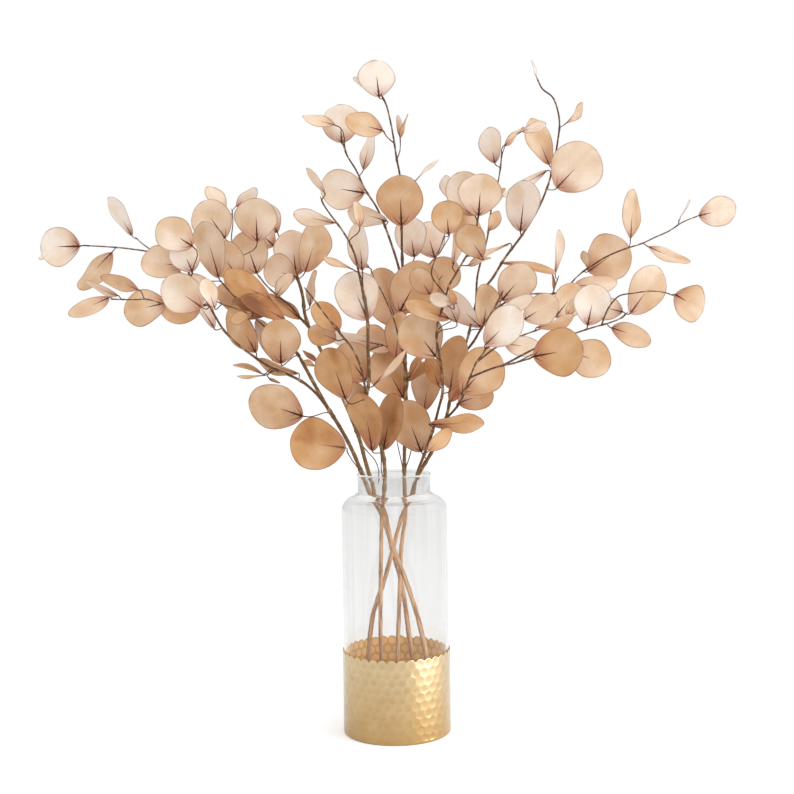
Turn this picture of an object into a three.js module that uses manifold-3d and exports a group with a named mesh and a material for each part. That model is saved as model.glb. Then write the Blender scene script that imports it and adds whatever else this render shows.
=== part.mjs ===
// Dried eucalyptus: five leafy stems in a clear glass bottle vase, whose lower third stands in a
// thin gold metal cup hammered in a honeycomb. Millimetres, +Z up, and the origin is the middle of
// the cup's underside.
import * as THREE from 'three';
import { mergeVertices } from 'three/addons/utils/BufferGeometryUtils.js';
import Module from 'manifold-3d';

const wasm = await Module();
wasm.setup();

// The gap between pieces that touch
const CLEAR = 0.3;

// The glass vase
const VASE_TOP = 298;
const BODY_RADIUS = 60.4;
const NECK_RADIUS = 41.5;
const NECK_FOOT = 276;
const GLASS_WALL = 2.7;
const GLASS_FLOOR = 4.7;
const FOOT_ROUND = 4;
const SHOULDER_ROUND = 17;
const SHOULDER_TURN = 84;
const SHOULDER_DROP = 4;
const LIP_HEIGHT = 5;
const LIP_FLARE = 0.9;
const VASE_SIDES = 32;

// The gold honeycomb cup
const CUP_RADIUS = 61.8;
const CUP_FLOOR = 1;
const CUP_FOOT_RADIUS = 60.4;
const CUP_FOOT_HEIGHT = 2.6;
const CELLS_ROUND = 36;
const CELL_ROWS = 10;
const CELL_DEPTH = 0.35;
const CELL_SIDE = 2 * Math.PI * CUP_RADIUS / CELLS_ROUND / Math.sqrt(3);
const FIRST_ROW = 5.9;

// The twigs, which thin towards their tips, and the height at which the stems are cut level
const TIP_THICKNESS = 0.6;
const LEAST_THICK = 1.2;
const MAIN_SIDES = 5;
const TWIG_SIDES = 4;
const STEM_FOOT = CUP_FLOOR + CLEAR + GLASS_FLOOR + CLEAR;

// The leaves: rows of the blade as parts of its length, also on blades narrower than a small leaf,
// how far its outline's fullest part lies past the middle and how blunt it is, a full blade's
// length by its width, and the most that a blade is cupped, arched and waved
const LEAF_THICK = 0.8;
const LEAF_ROWS = [0.15, 0.4, 0.68, 0.89];
const SMALL_ROWS = [0.2, 0.55, 0.86];
const SMALL_LEAF = 35;
const OUTLINE_SKEW = 1.2;
const OUTLINE_BLUNT = 0.5;
const FULL_RATIO = 1.12;
const SLIM_RATIO = 1.25;
const SLIM_BELOW = 0.6;
const LEAST_TURN = 0.12;
const CUPPING = 0.3;
const ARCHING = 0.13;
const WAVING = 0.06;
const STALK_THICK = 1.6;
const STALK_BACK = 3;

// How far a leaf keeps from other leaves and from twigs, over its faces and past its edge, the
// stretch near its base where it may touch its own twig, and the ways in which it may step aside:
// farther or nearer, and leaning
const LEAF_GAP = 2.4;
const TWIG_GAP = 1.2;
const EDGE_GAP = 1.5;
const OWN_REACH = 15;
const STEPS_ASIDE = [0, 6, -6, 12, -12, 18, -18, 26, -26];
const LEANS = [0, 0.3, -0.3];

// Joined surfaces lose points that shape them by less than this
const SLIVER = 0.02;

// The front view in which the bunch is laid out: seen from here, on the vase's middle plane
const EYE = { x: 5, y: -1565, z: 480 };

// The bunch. Each twig has its name, the twig that it grows from, its thickness at the root, the
// depth that its tip reaches (negative is nearer), the points that it passes in the front view,
// with their depth inside the vase, and its leaves: where the blade starts, the way it points in
// degrees (0 right, 90 up), and the length and width that it shows from the front.
const STEMS = {
  leafy_stem_far_left: [
    ['main', '', 6.6, -10, [
      [45, -4, -20], [25, 131, -13], [-2, 213, -9], [-18, 258, -7], [-27, 278, -5], [-36, 297, -4],
      [-45, 320], [-60, 350], [-75, 375], [-90, 403], [-105, 432],
    ], [
      [-102, 364, 161, 65, 54],
    ]],
    ['stalk', 'main', 1.6, -25, [
      [-38, 300], [-46, 311], [-54, 325],
    ], [
      [-54, 327, 171, 64, 62],
    ]],
    ['inner', 'main', 3.4, 45, [
      [-105, 432], [-118, 452], [-130, 470], [-148, 493], [-165, 515], [-172, 521],
    ], [
      [-172, 521, 122, 48, 42], [-138, 432, 105, 45, 16], [-147, 449, 122, 30, 6],
      [-140, 480, 160, 42, 26], [-160, 490, 150, 42, 30], [-126, 424, 91, 50, 45],
      [-136, 497, 168, 58, 31], [-120, 473, 163, 54, 20],
    ]],
    ['orange', 'inner', 2.2, 5, [
      [-150, 496], [-165, 488], [-173, 497], [-182, 506], [-195, 522],
    ], [
      [-194, 522, 104, 66, 40], [-205, 519, 165, 26, 8],
    ]],
    ['spur', 'inner', 2.4, -95, [
      [-120, 455], [-137, 461], [-150, 472], [-160, 480], [-175, 487], [-190, 492], [-198, 496],
    ], [
      [-200, 488, 108, 36, 16], [-158, 482, 205, 26, 14],
    ]],
    ['upright', 'inner', 2, 120, [
      [-158, 507], [-165, 525], [-174, 545], [-179, 565], [-177, 585], [-178, 600],
    ], [
      [-186, 566, 124, 50, 46], [-185, 597, 131, 34, 17], [-173, 602, 40, 31, 13],
      [-150, 562, 92, 49, 48],
    ]],
    ['low', 'main', 3.4, -45, [
      [-70, 369], [-88, 391], [-102, 403], [-117, 411], [-138, 420], [-157, 433], [-178, 450],
      [-190, 463], [-200, 480], [-207, 494], [-216, 506], [-224, 519], [-230, 532],
    ], [
      [-224, 529, 112, 42, 34], [-234, 536, 173, 48, 38], [-223, 558, 147, 46, 40],
      [-154, 437, 118, 60, 33], [-146, 411, 180, 30, 4], [-148, 413, 155, 34, 4],
      [-107, 413, 180, 46, 16], [-201, 465, 104, 66, 18], [-214, 489, 145, 50, 46],
      [-216, 491, 197, 44, 33], [-140, 408, 330, 14, 4],
    ]],
    ['far', 'low', 2.4, 55, [
      [-214, 503], [-235, 526], [-252, 542], [-268, 551], [-292, 556], [-320, 559], [-350, 561],
    ], [
      [-350, 560, 180, 46, 46], [-362, 556, 196, 36, 12], [-314, 553, 222, 56, 17],
    ]],
    ['far_up', 'far', 1.8, 75, [
      [-262, 548], [-272, 556], [-281, 563], [-288, 570],
    ], [
      [-291, 571, 117, 50, 21],
    ]],
    ['far_low', 'low', 2.2, -120, [
      [-206, 492], [-230, 489], [-255, 493], [-275, 499], [-292, 499], [-318, 500],
    ], [
      [-254, 495, 192, 50, 41], [-319, 502, 203, 50, 16], [-309, 504, 162, 40, 11],
      [-285, 510, 155, 45, 17],
    ]],
  ],
  leafy_stem_left: [
    ['main', '', 6.2, 150, [
      [28, 11, 30], [16, 100, 28], [5.5, 177, 25], [-3.5, 211, 23], [-12, 258, 21], [-28, 297, 20],
      [-33, 315], [-37, 332], [-50, 368], [-57, 385], [-70, 415], [-85, 448], [-92, 462], [-98, 480],
      [-100, 500], [-107, 523], [-122, 543], [-130, 555],
    ], [
      [-131, 557, 137, 42, 36], [-107, 523, 95, 52, 42], [-97, 527, 70, 58, 34],
      [-107, 522, 166, 37, 40], [-92, 488, 82, 42, 12], [-85, 424, 132, 22, 4], [-88, 421, 158, 14, 7],
      [-127, 572, 118, 36, 27],
    ]],
    ['side', 'main', 3, 95, [
      [-93, 463], [-105, 478], [-115, 490], [-127, 500], [-140, 512], [-151, 526],
    ], [
      [-151, 526, 108, 50, 44], [-103, 474, 138, 46, 14], [-130, 500, 60, 32, 16],
    ]],
    ['loop', 'main', 1.4, 27, [
      [-36, 331], [-30, 323], [-21, 312], [-17, 300], [-18, 288],
    ], [

    ]],
  ],
  leafy_stem_centre: [
    ['main', '', 5.6, -75, [
      [-14, 8, 20], [-18, 100, 4], [-17, 165, -8], [-16, 200, -14], [-14, 252, -23], [-10, 297, -30],
      [-12, 320], [-20, 345], [-28, 368], [-30, 385], [-27, 400], [-27, 440], [-27, 470], [-29, 490],
      [-33, 510],
    ], [
      [-27, 472, 112, 58, 52], [-21, 398, 52, 54, 8], [-30, 403, 125, 50, 44], [-24, 323, 84, 68, 38],
      [-11, 324, 80, 66, 32], [-12, 444, 167, 66, 22], [-32, 528, 93, 54, 25], [-42, 529, 155, 38, 7],
      [-28, 370, 132, 38, 28],
    ]],
    ['spike', 'main', 1.5, -58, [
      [-14, 288], [-14, 300], [-14, 313], [-15, 326],
    ], [

    ]],
    ['upper', 'main', 2.6, -130, [
      [-33, 510], [-36, 525], [-40, 545], [-53, 572], [-66, 590], [-76, 606], [-78, 612],
    ], [
      [-73, 616, 119, 34, 8], [-62, 582, 167, 48, 15], [-34, 577, 96, 30, 12],
    ]],
    ['front', 'main', 2.8, -150, [
      [-29, 378], [-36, 420], [-45, 440], [-59, 458], [-72, 475], [-85, 493], [-98, 510],
    ], [
      [-53, 382, 108, 63, 42], [-59, 461, 128, 42, 28], [-63, 450, 155, 34, 26],
    ]],
  ],
  leafy_stem_top: [
    ['main', '', 5.8, 40, [
      [-4, -6, -25], [1, 85, -12], [5, 166, 3], [8, 217, 13], [13, 252, 24], [12, 297, 33], [13, 333],
      [15, 380], [15, 410], [14, 450], [14, 508], [13, 550],
    ], [
      [12, 383, 118, 62, 44], [17, 403, 45, 30, 14], [20, 408, 56, 36, 8], [9, 480, 62, 64, 54],
      [0, 438, 150, 44, 30], [36, 368, 96, 58, 34], [8, 462, 109, 72, 46], [4, 428, 96, 52, 28],
      [44, 503, 52, 45, 40],
    ]],
    ['orange', 'main', 2.4, -20, [
      [13, 540], [13, 560], [12, 578],
    ], [
      [13, 577, 92, 57, 53],
    ]],
    ['top', 'main', 3, 20, [
      [13, 550], [13, 600], [11, 640], [9, 650], [6, 672], [3, 690], [1, 700], [-2, 712], [-8, 725],
    ], [
      [-10, 721, 96, 42, 42], [-13, 728, 152, 30, 6], [26, 624, 48, 40, 5],
    ]],
    ['top_spur', 'top', 1.6, 5, [
      [6, 670], [0, 675], [-7, 685],
    ], [
      [-6, 684, 166, 44, 30],
    ]],
    ['bud', 'top', 1.4, 30, [
      [9, 652], [12, 660], [13, 678],
    ], [
      [12, 679, 93, 22, 7], [13, 676, 70, 28, 3],
    ]],
    ['top_left', 'main', 3.2, 110, [
      [14, 508], [8, 535], [2, 555], [-6, 578], [-14, 597], [-28, 620], [-38, 642], [-47, 657],
      [-52, 673],
    ], [
      [-53, 671, 94, 43, 45], [-60, 691, 165, 38, 15], [-29, 641, 76, 50, 15], [-28, 615, 170, 50, 46],
      [-3, 583, 160, 46, 20],
    ]],
    ['pale', 'main', 2, 130, [
      [14, 500], [20, 520], [24, 533], [27, 542],
    ], [
      [27, 542, 97, 46, 36], [50, 541, 105, 42, 36], [60, 482, 132, 34, 28], [69, 606, 103, 28, 13],
    ]],
    ['crossing', 'main', 2, -75, [
      [14, 430], [8, 450], [5, 465], [-3, 487], [-10, 503], [-18, 518], [-23, 530],
    ], [
      [-24, 531, 140, 26, 9],
    ]],
    ['spike', 'main', 1.5, 44, [
      [12, 295], [9, 310], [4, 334],
    ], [

    ]],
    ['spur', 'main', 1.6, 20, [
      [13, 300], [17, 312], [22, 330],
    ], [

    ]],
  ],
  leafy_stem_right: [
    ['main', '', 6.8, 5, [
      [-45, 5, 10], [-32, 91, 9], [-27, 131, 9], [-10, 183, 8.5], [-2, 211, 8.5], [9, 249, 8],
      [29, 297, 8], [37, 310], [45, 323],
    ], [
      [32, 321, 111, 62, 50],
    ]],
    ['inner', 'main', 3.8, -45, [
      [22, 280], [28, 300], [37, 323], [45, 345], [52, 370], [57, 390], [57, 402], [54, 430], [51, 450],
      [52, 467],
    ], [
      [50, 429, 126, 57, 52], [66, 472, 163, 54, 20], [52, 397, 108, 34, 19], [42, 353, 0, 62, 24],
      [66, 392, 83, 62, 36], [40, 322, 48, 36, 20], [74, 468, 112, 36, 18],
    ]],
    ['mid', 'inner', 2.6, -85, [
      [52, 467], [57, 482], [61, 495], [66, 510], [73, 522], [84, 540], [90, 550], [95, 563], [99, 582],
    ], [
      [100, 587, 90, 46, 50], [96, 588, 112, 52, 44], [70, 531, 80, 54, 15], [104, 541, 122, 42, 32],
      [104, 592, 36, 30, 7], [87, 532, 15, 28, 7], [72, 490, 168, 30, 16], [71, 488, 100, 24, 8],
      [103, 558, 128, 40, 26],
    ]],
    ['mid_left', 'mid', 1.8, -130, [
      [62, 498], [46, 526], [50, 538], [56, 552], [62, 568],
    ], [
      [66, 567, 95, 38, 38], [44, 500, 120, 34, 26],
    ]],
    ['outer', 'main', 4.2, 10, [
      [43, 320], [49, 330], [57, 348], [62, 365], [66, 385], [69, 399], [73, 415], [79, 430], [86, 450],
      [92, 475], [96, 490],
    ], [
      [102, 462, 124, 58, 27], [66, 378, 62, 32, 20],
    ]],
    ['right_top', 'outer', 2.6, 60, [
      [96, 490], [98, 520], [103, 540], [109, 560], [112, 580], [117, 607], [121, 620], [125, 640],
      [127, 660],
    ], [
      [119, 646, 100, 41, 24], [130, 666, 38, 30, 6], [150, 681, 22, 28, 10], [116, 601, 45, 22, 6],
      [112, 571, 68, 24, 14],
    ]],
    ['high', 'outer', 3.2, 165, [
      [95, 488], [104, 504], [114, 516], [128, 538], [150, 567], [170, 600], [179, 622], [184, 640],
      [190, 671], [192, 688], [190, 704], [184, 719], [173, 728], [167, 740],
    ], [
      [167, 740, 112, 20, 5], [147, 569, 83, 58, 36], [178, 637, 207, 58, 11], [188, 617, 46, 61, 61],
      [180, 643, 113, 56, 31], [199, 689, 42, 30, 8], [126, 534, 352, 62, 12], [134, 556, 206, 44, 7],
    ]],
    ['wide', 'outer', 3.2, -35, [
      [79, 430], [92, 445], [103, 463], [115, 480], [122, 494], [127, 503],
    ], [
      [125, 492, 50, 50, 43], [104, 463, 80, 48, 32], [128, 481, 42, 34, 18],
    ]],
    ['across', 'wide', 2.6, 95, [
      [115, 480], [128, 489], [142, 497], [165, 499], [185, 499], [197, 504], [210, 517], [222, 527],
    ], [
      [223, 523, 34, 55, 54], [206, 506, 6, 50, 22], [222, 527, 96, 20, 6], [150, 470, 32, 44, 36],
      [185, 472, 50, 46, 38],
    ]],
    ['twist', 'across', 1.6, 110, [
      [183, 499], [186, 508], [190, 519],
    ], [
      [186, 521, 88, 50, 13], [184, 503, 97, 18, 5],
    ]],
    ['tip', 'across', 2.2, 60, [
      [218, 523], [245, 540], [268, 549], [282, 553], [300, 561], [314, 567], [330, 577], [348, 584],
    ], [
      [348, 584, 13, 43, 34], [271, 559, 86, 56, 26], [291, 550, 333, 50, 17], [326, 579, 68, 26, 4],
    ]],
    ['front', 'outer', 2.8, -140, [
      [60, 358], [75, 375], [85, 398], [90, 410], [96, 423], [103, 432], [108, 441],
    ], [
      [106, 442, 42, 56, 40], [79, 388, 47, 61, 55], [74, 376, 20, 42, 30], [109, 439, 57, 30, 5],
    ]],
    ['low', 'front', 2.6, -175, [
      [88, 405], [105, 412], [120, 417], [135, 420], [150, 424], [160, 427],
    ], [
      [160, 428, 9, 57, 56], [199, 434, 340, 52, 45],
    ]],
    ['shelf', 'front', 2.4, -60, [
      [96, 423], [125, 443], [148, 452], [165, 458], [182, 464], [199, 473],
    ], [
      [165, 461, 12, 44, 14], [199, 474, 60, 20, 10], [128, 443, 353, 42, 24],
    ]],
    ['long', 'low', 2.4, -90, [
      [125, 418], [165, 438], [190, 447], [203, 452], [225, 459], [250, 466], [260, 470], [268, 477],
    ], [
      [222, 462, 78, 48, 44], [249, 459, 342, 48, 27], [270, 475, 52, 62, 46], [262, 477, 165, 36, 26],
    ]],
    ['long_top', 'long', 1.8, -150, [
      [238, 462], [246, 482], [258, 495], [275, 498], [295, 500], [310, 498], [321, 494],
    ], [
      [321, 496, 333, 42, 44],
    ]],
  ],
};

// A surface of points and of faces that name them by number.
function surfaceOf(points, faces) {
  const surface = new THREE.BufferGeometry().setFromPoints(points);
  surface.setIndex(faces.flat());
  return surface;
}

// A closed surface as a solid that can be joined and cut. Faces whose points fall together go.
function solidOf(surface) {
  const merged = mergeVertices(surface, 1e-4);
  const index = merged.index.array;
  const kept = [];
  for (let i = 0; i < index.length; i += 3) {
    const [a, b, c] = index.slice(i, i + 3);
    if (a !== b && b !== c && c !== a) kept.push(a, b, c);
  }
  return new wasm.Manifold(new wasm.Mesh({
    numProp: 3,
    vertProperties: merged.attributes.position.array,
    triVerts: new Uint32Array(kept),
  }));
}

// The surface of a solid.
function skinOf(solid) {
  const { vertProperties, triVerts } = solid.getMesh();
  const surface = new THREE.BufferGeometry();
  surface.setAttribute('position', new THREE.BufferAttribute(new Float32Array(vertProperties), 3));
  surface.setIndex(new THREE.BufferAttribute(new Uint32Array(triVerts), 1));
  return surface;
}

// Points of an arc in a profile, from one angle to another in degrees, both ends included.
function arc(x, y, radius, from, to, steps) {
  return Array.from({ length: steps + 1 }, (_, i) => {
    const angle = THREE.MathUtils.degToRad(from + (to - from) * i / steps);
    return new THREE.Vector2(x + radius * Math.cos(angle), y + radius * Math.sin(angle));
  });
}

// The bottle: one wall that turns over at the lip, closed on the axis at the foot and the floor.
function glassVase() {
  const foot = CUP_FLOOR + CLEAR;
  const floor = foot + GLASS_FLOOR;
  const bore = NECK_RADIUS - GLASS_WALL;
  const inner = BODY_RADIUS - GLASS_WALL - FOOT_ROUND;
  const centre = BODY_RADIUS - SHOULDER_ROUND;
  const shoulder = NECK_FOOT - SHOULDER_DROP - SHOULDER_ROUND;
  return new THREE.LatheGeometry([
    new THREE.Vector2(0, foot),
    ...arc(BODY_RADIUS - FOOT_ROUND, foot + FOOT_ROUND, FOOT_ROUND, -90, 0, 2),
    ...arc(centre, shoulder, SHOULDER_ROUND, 0, SHOULDER_TURN, 4),
    new THREE.Vector2(NECK_RADIUS, NECK_FOOT),
    new THREE.Vector2(NECK_RADIUS, VASE_TOP - LIP_HEIGHT),
    new THREE.Vector2(NECK_RADIUS + LIP_FLARE, VASE_TOP - LIP_HEIGHT / 2),
    new THREE.Vector2(NECK_RADIUS, VASE_TOP),
    new THREE.Vector2(bore + LIP_FLARE, VASE_TOP),
    new THREE.Vector2(bore, VASE_TOP - LIP_HEIGHT / 2),
    new THREE.Vector2(bore, NECK_FOOT - GLASS_WALL),
    ...arc(centre, shoulder, SHOULDER_ROUND - GLASS_WALL, SHOULDER_TURN, 0, 4),
    ...arc(inner, floor + FOOT_ROUND, FOOT_ROUND, 0, -90, 2),
    new THREE.Vector2(0, floor),
  ], VASE_SIDES).rotateX(Math.PI / 2);
}

// The cup: rows of six-sided cells, each dished towards its middle. The zigzag between two rows of
// cells is a ring of points, and the last zigzag is the scalloped rim.
function honeycombCup() {
  const points = [];
  const faces = [];
  const around = 2 * CELLS_ROUND;
  const place = (radius, step, height) => {
    const angle = 2 * Math.PI * step / around;
    return points.push(new THREE.Vector3(
      radius * Math.cos(angle), radius * Math.sin(angle), height)) - 1;
  };
  const ring = (radius, heightAt) =>
    Array.from({ length: around }, (_, step) => place(radius, step, heightAt(step)));
  const middleOf = (row) => FIRST_ROW + row * 1.5 * CELL_SIDE;
  const zigzag = (row) => (step) =>
    Math.max(CUP_FOOT_HEIGHT, middleOf(row) - CELL_SIDE * ((step + row) % 2 ? 0.5 : 1));
  const band = (low, high) => low.forEach((a, i) => {
    const j = (i + 1) % around;
    faces.push([a, low[j], high[j]], [a, high[j], high[i]]);
  });

  const underside = ring(CUP_FOOT_RADIUS, () => 0);
  let low = ring(CUP_RADIUS, zigzag(0));
  band(underside, low);
  const dished = CUP_RADIUS * Math.cos(Math.PI / around) - CELL_DEPTH;
  for (let row = 0; row < CELL_ROWS; row++) {
    const high = ring(CUP_RADIUS, zigzag(row + 1));
    for (let cell = 0; cell < CELLS_ROUND; cell++) {
      const at = 2 * cell + row % 2;
      const left = (at - 1 + around) % around;
      const right = (at + 1) % around;
      const centre = place(dished, at, middleOf(row));
      const edge = [low[left], low[at], low[right], high[right], high[at], high[left]];
      edge.forEach((corner, i) => faces.push([corner, edge[(i + 1) % 6], centre]));
    }
    low = high;
  }
  const inner = BODY_RADIUS + CLEAR;
  const rim = ring(inner, zigzag(CELL_ROWS));
  const floor = ring(inner, () => CUP_FLOOR);
  band(low, rim);
  band(rim, floor);
  const below = place(0, 0, 0);
  const above = place(0, 0, CUP_FLOOR);
  underside.forEach((a, i) => faces.push([below, underside[(i + 1) % around], a]));
  floor.forEach((a, i) => faces.push([above, a, floor[(i + 1) % around]]));
  return surfaceOf(points, faces);
}

// A point of the front view at a depth: it is seen in the same place at any depth.
function seen(x, z, depth) {
  const scale = 1 - depth / EYE.y;
  return new THREE.Vector3(EYE.x + (x - EYE.x) * scale, depth, EYE.z + (z - EYE.z) * scale);
}

// A draw between 0 and 1, the same each time for the same number.
function draw(number) {
  const value = Math.sin(number * 12.9898 + 4.1) * 43758.5453;
  return value - Math.floor(value);
}

// A twig's place in the front view at a distance from its root, with its depth and radius.
function placeOn({ way, at }, distance) {
  const far = THREE.MathUtils.clamp(distance, 0, at[at.length - 1]);
  let i = 1;
  while (i < at.length - 1 && at[i] < far) i++;
  const part = (far - at[i - 1]) / (at[i] - at[i - 1]);
  return way[i].map((value, k) => way[i - 1][k] + (value - way[i - 1][k]) * part);
}

// The place on a twig nearest to a point of the front view: its distance from the root, and how
// far off it the point lies.
function nearestOn({ way, at }, x, z) {
  let best = { off: Infinity, distance: 0 };
  for (let i = 1; i < way.length; i++) {
    const [ax, az] = way[i - 1];
    const [dx, dz] = [way[i][0] - ax, way[i][1] - az];
    const ahead = ((x - ax) * dx + (z - az) * dz) / (dx * dx + dz * dz);
    const part = THREE.MathUtils.clamp(ahead, 0, 1);
    const off = Math.hypot(ax + dx * part - x, az + dz * part - z);
    if (off < best.off) best = { off, distance: at[i - 1] + part * (at[i] - at[i - 1]) };
  }
  return best;
}

// A twig's way through the front view: each point gets its depth and its radius. A side twig starts
// on the middle of the twig that carries it.
function twigOf([name, , thick, tipDepth, given], carrier) {
  const way = given.map((point) => [...point]);
  if (carrier) {
    const [x, z] = way[0];
    way[0] = placeOn(carrier, nearestOn(carrier, x, z).distance).slice(0, 3);
  }
  const at = [0];
  for (let i = 1; i < way.length; i++) {
    at.push(at[i - 1] + Math.hypot(way[i][0] - way[i - 1][0], way[i][1] - way[i - 1][1]));
  }
  const total = at[at.length - 1];
  const start = way.findLastIndex((point) => point.length > 2);
  const depth = way[start][2];
  way.forEach((point, i) => {
    if (i > start) point.push(depth + (tipDepth - depth) * (at[i] - at[start]) / (total - at[start]));
    point.push(Math.max(thick * (1 - (1 - TIP_THICKNESS) * at[i] / total), LEAST_THICK) / 2);
  });
  return { name, way, at };
}

// Half the blade's width at a part of its length: a wedge at the base, full past it, and blunt.
function halfWidth(leaf, part) {
  return leaf.width / 2 * Math.max(Math.sin(Math.PI * part ** OUTLINE_SKEW), 0) ** OUTLINE_BLUNT;
}

// How far the blade rises from its flat plane: arched along, cupped across and waved at the edge.
function rise(leaf, part, side) {
  const out = side * halfWidth(leaf, part);
  const cupped = leaf.cup * 2 * out * out / leaf.width;
  const waved = leaf.wave * 2 * out * Math.sin(2 * Math.PI * part);
  return leaf.arch * leaf.length * part * part + cupped + waved;
}

// A point of the blade: part of its length, side from -1 to 1, and height over its middle layer.
function bladePoint(leaf, part, side, height = 0) {
  return leaf.base.clone()
    .addScaledVector(leaf.along, leaf.length * part)
    .addScaledVector(leaf.across, side * halfWidth(leaf, part))
    .addScaledVector(leaf.normal, rise(leaf, part, side) + height);
}

// A leaf from what it shows. A blade that shows narrow is turned about its midrib, and one that
// shows short leans. It stands some way nearer or farther than its twig.
function leafOf([x, z, angle, length, width], number, twig, { aside, lean, hand }) {
  const { off, distance } = nearestOn(twig, x, z);
  const [rootX, rootZ, rootDepth, rootRadius] = placeOn(twig, distance - STALK_BACK - off / 2);
  const depth = placeOn(twig, distance)[2] + aside;
  const scale = 1 - depth / EYE.y;
  const ratio = width < SLIM_BELOW * length ? SLIM_RATIO : FULL_RATIO;
  const fullWidth = Math.max(width, length / ratio);
  const turn = hand * Math.max(Math.acos(width / fullWidth), LEAST_TURN);
  const leaning = hand * Math.acos(Math.min(length / fullWidth, 1)) + lean;
  const heading = THREE.MathUtils.degToRad(angle);
  const mix = (a, p, b, q) => a.clone().multiplyScalar(p).addScaledVector(b, q);
  const ahead = new THREE.Vector3(Math.cos(heading), 0, Math.sin(heading));
  const beside = new THREE.Vector3(-Math.sin(heading), 0, Math.cos(heading));
  const facing = new THREE.Vector3(0, -1, 0);
  const turned = mix(facing, Math.cos(turn), beside, -Math.sin(turn));
  return {
    root: seen(rootX, rootZ, rootDepth),
    rootThick: Math.min(STALK_THICK, rootRadius),
    base: seen(x, z, depth),
    along: mix(ahead, Math.cos(leaning), turned, Math.sin(leaning)),
    across: mix(beside, Math.cos(turn), facing, Math.sin(turn)),
    normal: mix(turned, Math.cos(leaning), ahead, -Math.sin(leaning)),
    length: length * scale / Math.cos(leaning),
    width: fullWidth * scale,
    cup: CUPPING * (draw(3 * number) - 0.25),
    arch: ARCHING * (2 * draw(3 * number + 1) - 1),
    wave: WAVING * (2 * draw(3 * number + 2) - 1),
  };
}

// Marks along a line of points, each with the gap that a blade must keep from it.
function marksOf(points, gap) {
  return points.map((point) => ({ point, gap }));
}

// Marks round a blade's edge and inside it.
function bladeMarks(leaf) {
  const points = [];
  for (let i = 0; i <= 12; i++) points.push(bladePoint(leaf, i / 12, 1));
  for (let i = 11; i > 0; i--) points.push(bladePoint(leaf, i / 12, -1));
  for (let i = 1; i < 6; i++) points.push(bladePoint(leaf, i / 6, i % 2 ? 0.5 : -0.5));
  return marksOf(points, LEAF_GAP);
}

// Marks along a leaf's stalk.
function stalkMarks(leaf) {
  return marksOf([0.25, 0.5, 0.75].map((part) => leaf.root.clone().lerp(leaf.base, part)), LEAF_GAP);
}

// Marks along a twig.
function twigMarks(twig) {
  const total = twig.at[twig.at.length - 1];
  const steps = Math.ceil(total / 5);
  return Array.from({ length: steps + 1 }, (_, i) => {
    const [x, z, depth, radius] = placeOn(twig, total * i / steps);
    return { point: seen(x, z, depth), gap: radius + TWIG_GAP };
  });
}

// How many of a row of marks come too close to a blade, or lie on its other side than the last.
function hits(leaf, marks) {
  let count = 0;
  let last = 0;
  for (const { point, gap } of marks) {
    const away = point.clone().sub(leaf.base);
    const part = away.dot(leaf.along) / leaf.length;
    const out = away.dot(leaf.across);
    const inside = THREE.MathUtils.clamp(part, 0.01, 0.99);
    const half = halfWidth(leaf, inside);
    let over = 0;
    if (part > -0.03 && part < 1.03 && Math.abs(out) < half + EDGE_GAP) {
      over = away.dot(leaf.normal) - rise(leaf, inside, THREE.MathUtils.clamp(out / half, -1, 1));
      if (Math.abs(over) < gap || over * last < 0) count++;
    }
    last = over;
  }
  return count;
}

// How much a leaf is in the way of the leaves placed before it and of the twigs.
function crossings(leaf, marks, placed, twigs) {
  const middle = bladePoint(leaf, 0.5, 0);
  let count = 0;
  for (const other of placed) {
    if (middle.distanceTo(other.middle) > leaf.length + other.leaf.length) continue;
    for (const row of marks) count += hits(other.leaf, row);
    for (const row of other.marks) count += hits(leaf, row);
  }
  for (const twig of twigs) {
    count += hits(leaf, twig.filter(({ point }) =>
      point.distanceTo(middle) < leaf.length && point.distanceTo(leaf.base) > OWN_REACH));
  }
  return count;
}

// Lays out the bunch: each leaf in turn steps aside no more than it must to be clear of all else.
function layOut() {
  const stems = Object.entries(STEMS).map(([name, rows]) => {
    const twigs = [];
    for (const row of rows) twigs.push(twigOf(row, twigs.find((twig) => twig.name === row[1])));
    return { name, rows, twigs, leaves: [] };
  });
  const twigs = stems.flatMap((stem) => stem.twigs.map(twigMarks));
  const ways = LEANS.flatMap((lean) => STEPS_ASIDE.map((aside) => ({ aside, lean })))
    .sort((a, b) => Math.abs(a.aside) + 20 * Math.abs(a.lean) - Math.abs(b.aside) - 20 * Math.abs(b.lean));
  const placed = [];
  for (const stem of stems) {
    stem.rows.forEach((row, i) => row[5].forEach((shown) => {
      const number = placed.length;
      const hand = draw(1000 + number) < 0.5 ? -1 : 1;
      let best = { count: Infinity };
      for (const way of ways.flatMap((w) => [{ ...w, hand }, { ...w, hand: -hand }])) {
        if (best.count === 0) break;
        const leaf = leafOf(shown, number, stem.twigs[i], way);
        const marks = [bladeMarks(leaf), stalkMarks(leaf)];
        const count = crossings(leaf, marks, placed, twigs);
        if (count < best.count) best = { count, leaf, marks, middle: bladePoint(leaf, 0.5, 0) };
      }
      placed.push(best);
      stem.leaves.push(best.leaf);
    }));
  }
  return stems;
}

// Joins rings of points into a closed solid. The second half of each ring is split into triangles
// as the mirror image of the first, so that both faces of a blade are split alike.
function loft(rings) {
  const count = rings[0].length;
  const faces = [];
  for (let i = 0; i + 1 < rings.length; i++) {
    for (let k = 0; k < count; k++) {
      const a = i * count + k;
      const b = i * count + (k + 1) % count;
      if (2 * k < count) faces.push([a, b, b + count], [a, b + count, a + count]);
      else faces.push([a, b, a + count], [b, b + count, a + count]);
    }
  }
  const end = (rings.length - 1) * count;
  for (let k = 1; k + 1 < count; k++) {
    faces.push([0, k + 1, k], [end, end + k, end + k + 1]);
  }
  return solidOf(surfaceOf(rings.flat(), faces));
}

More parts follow.
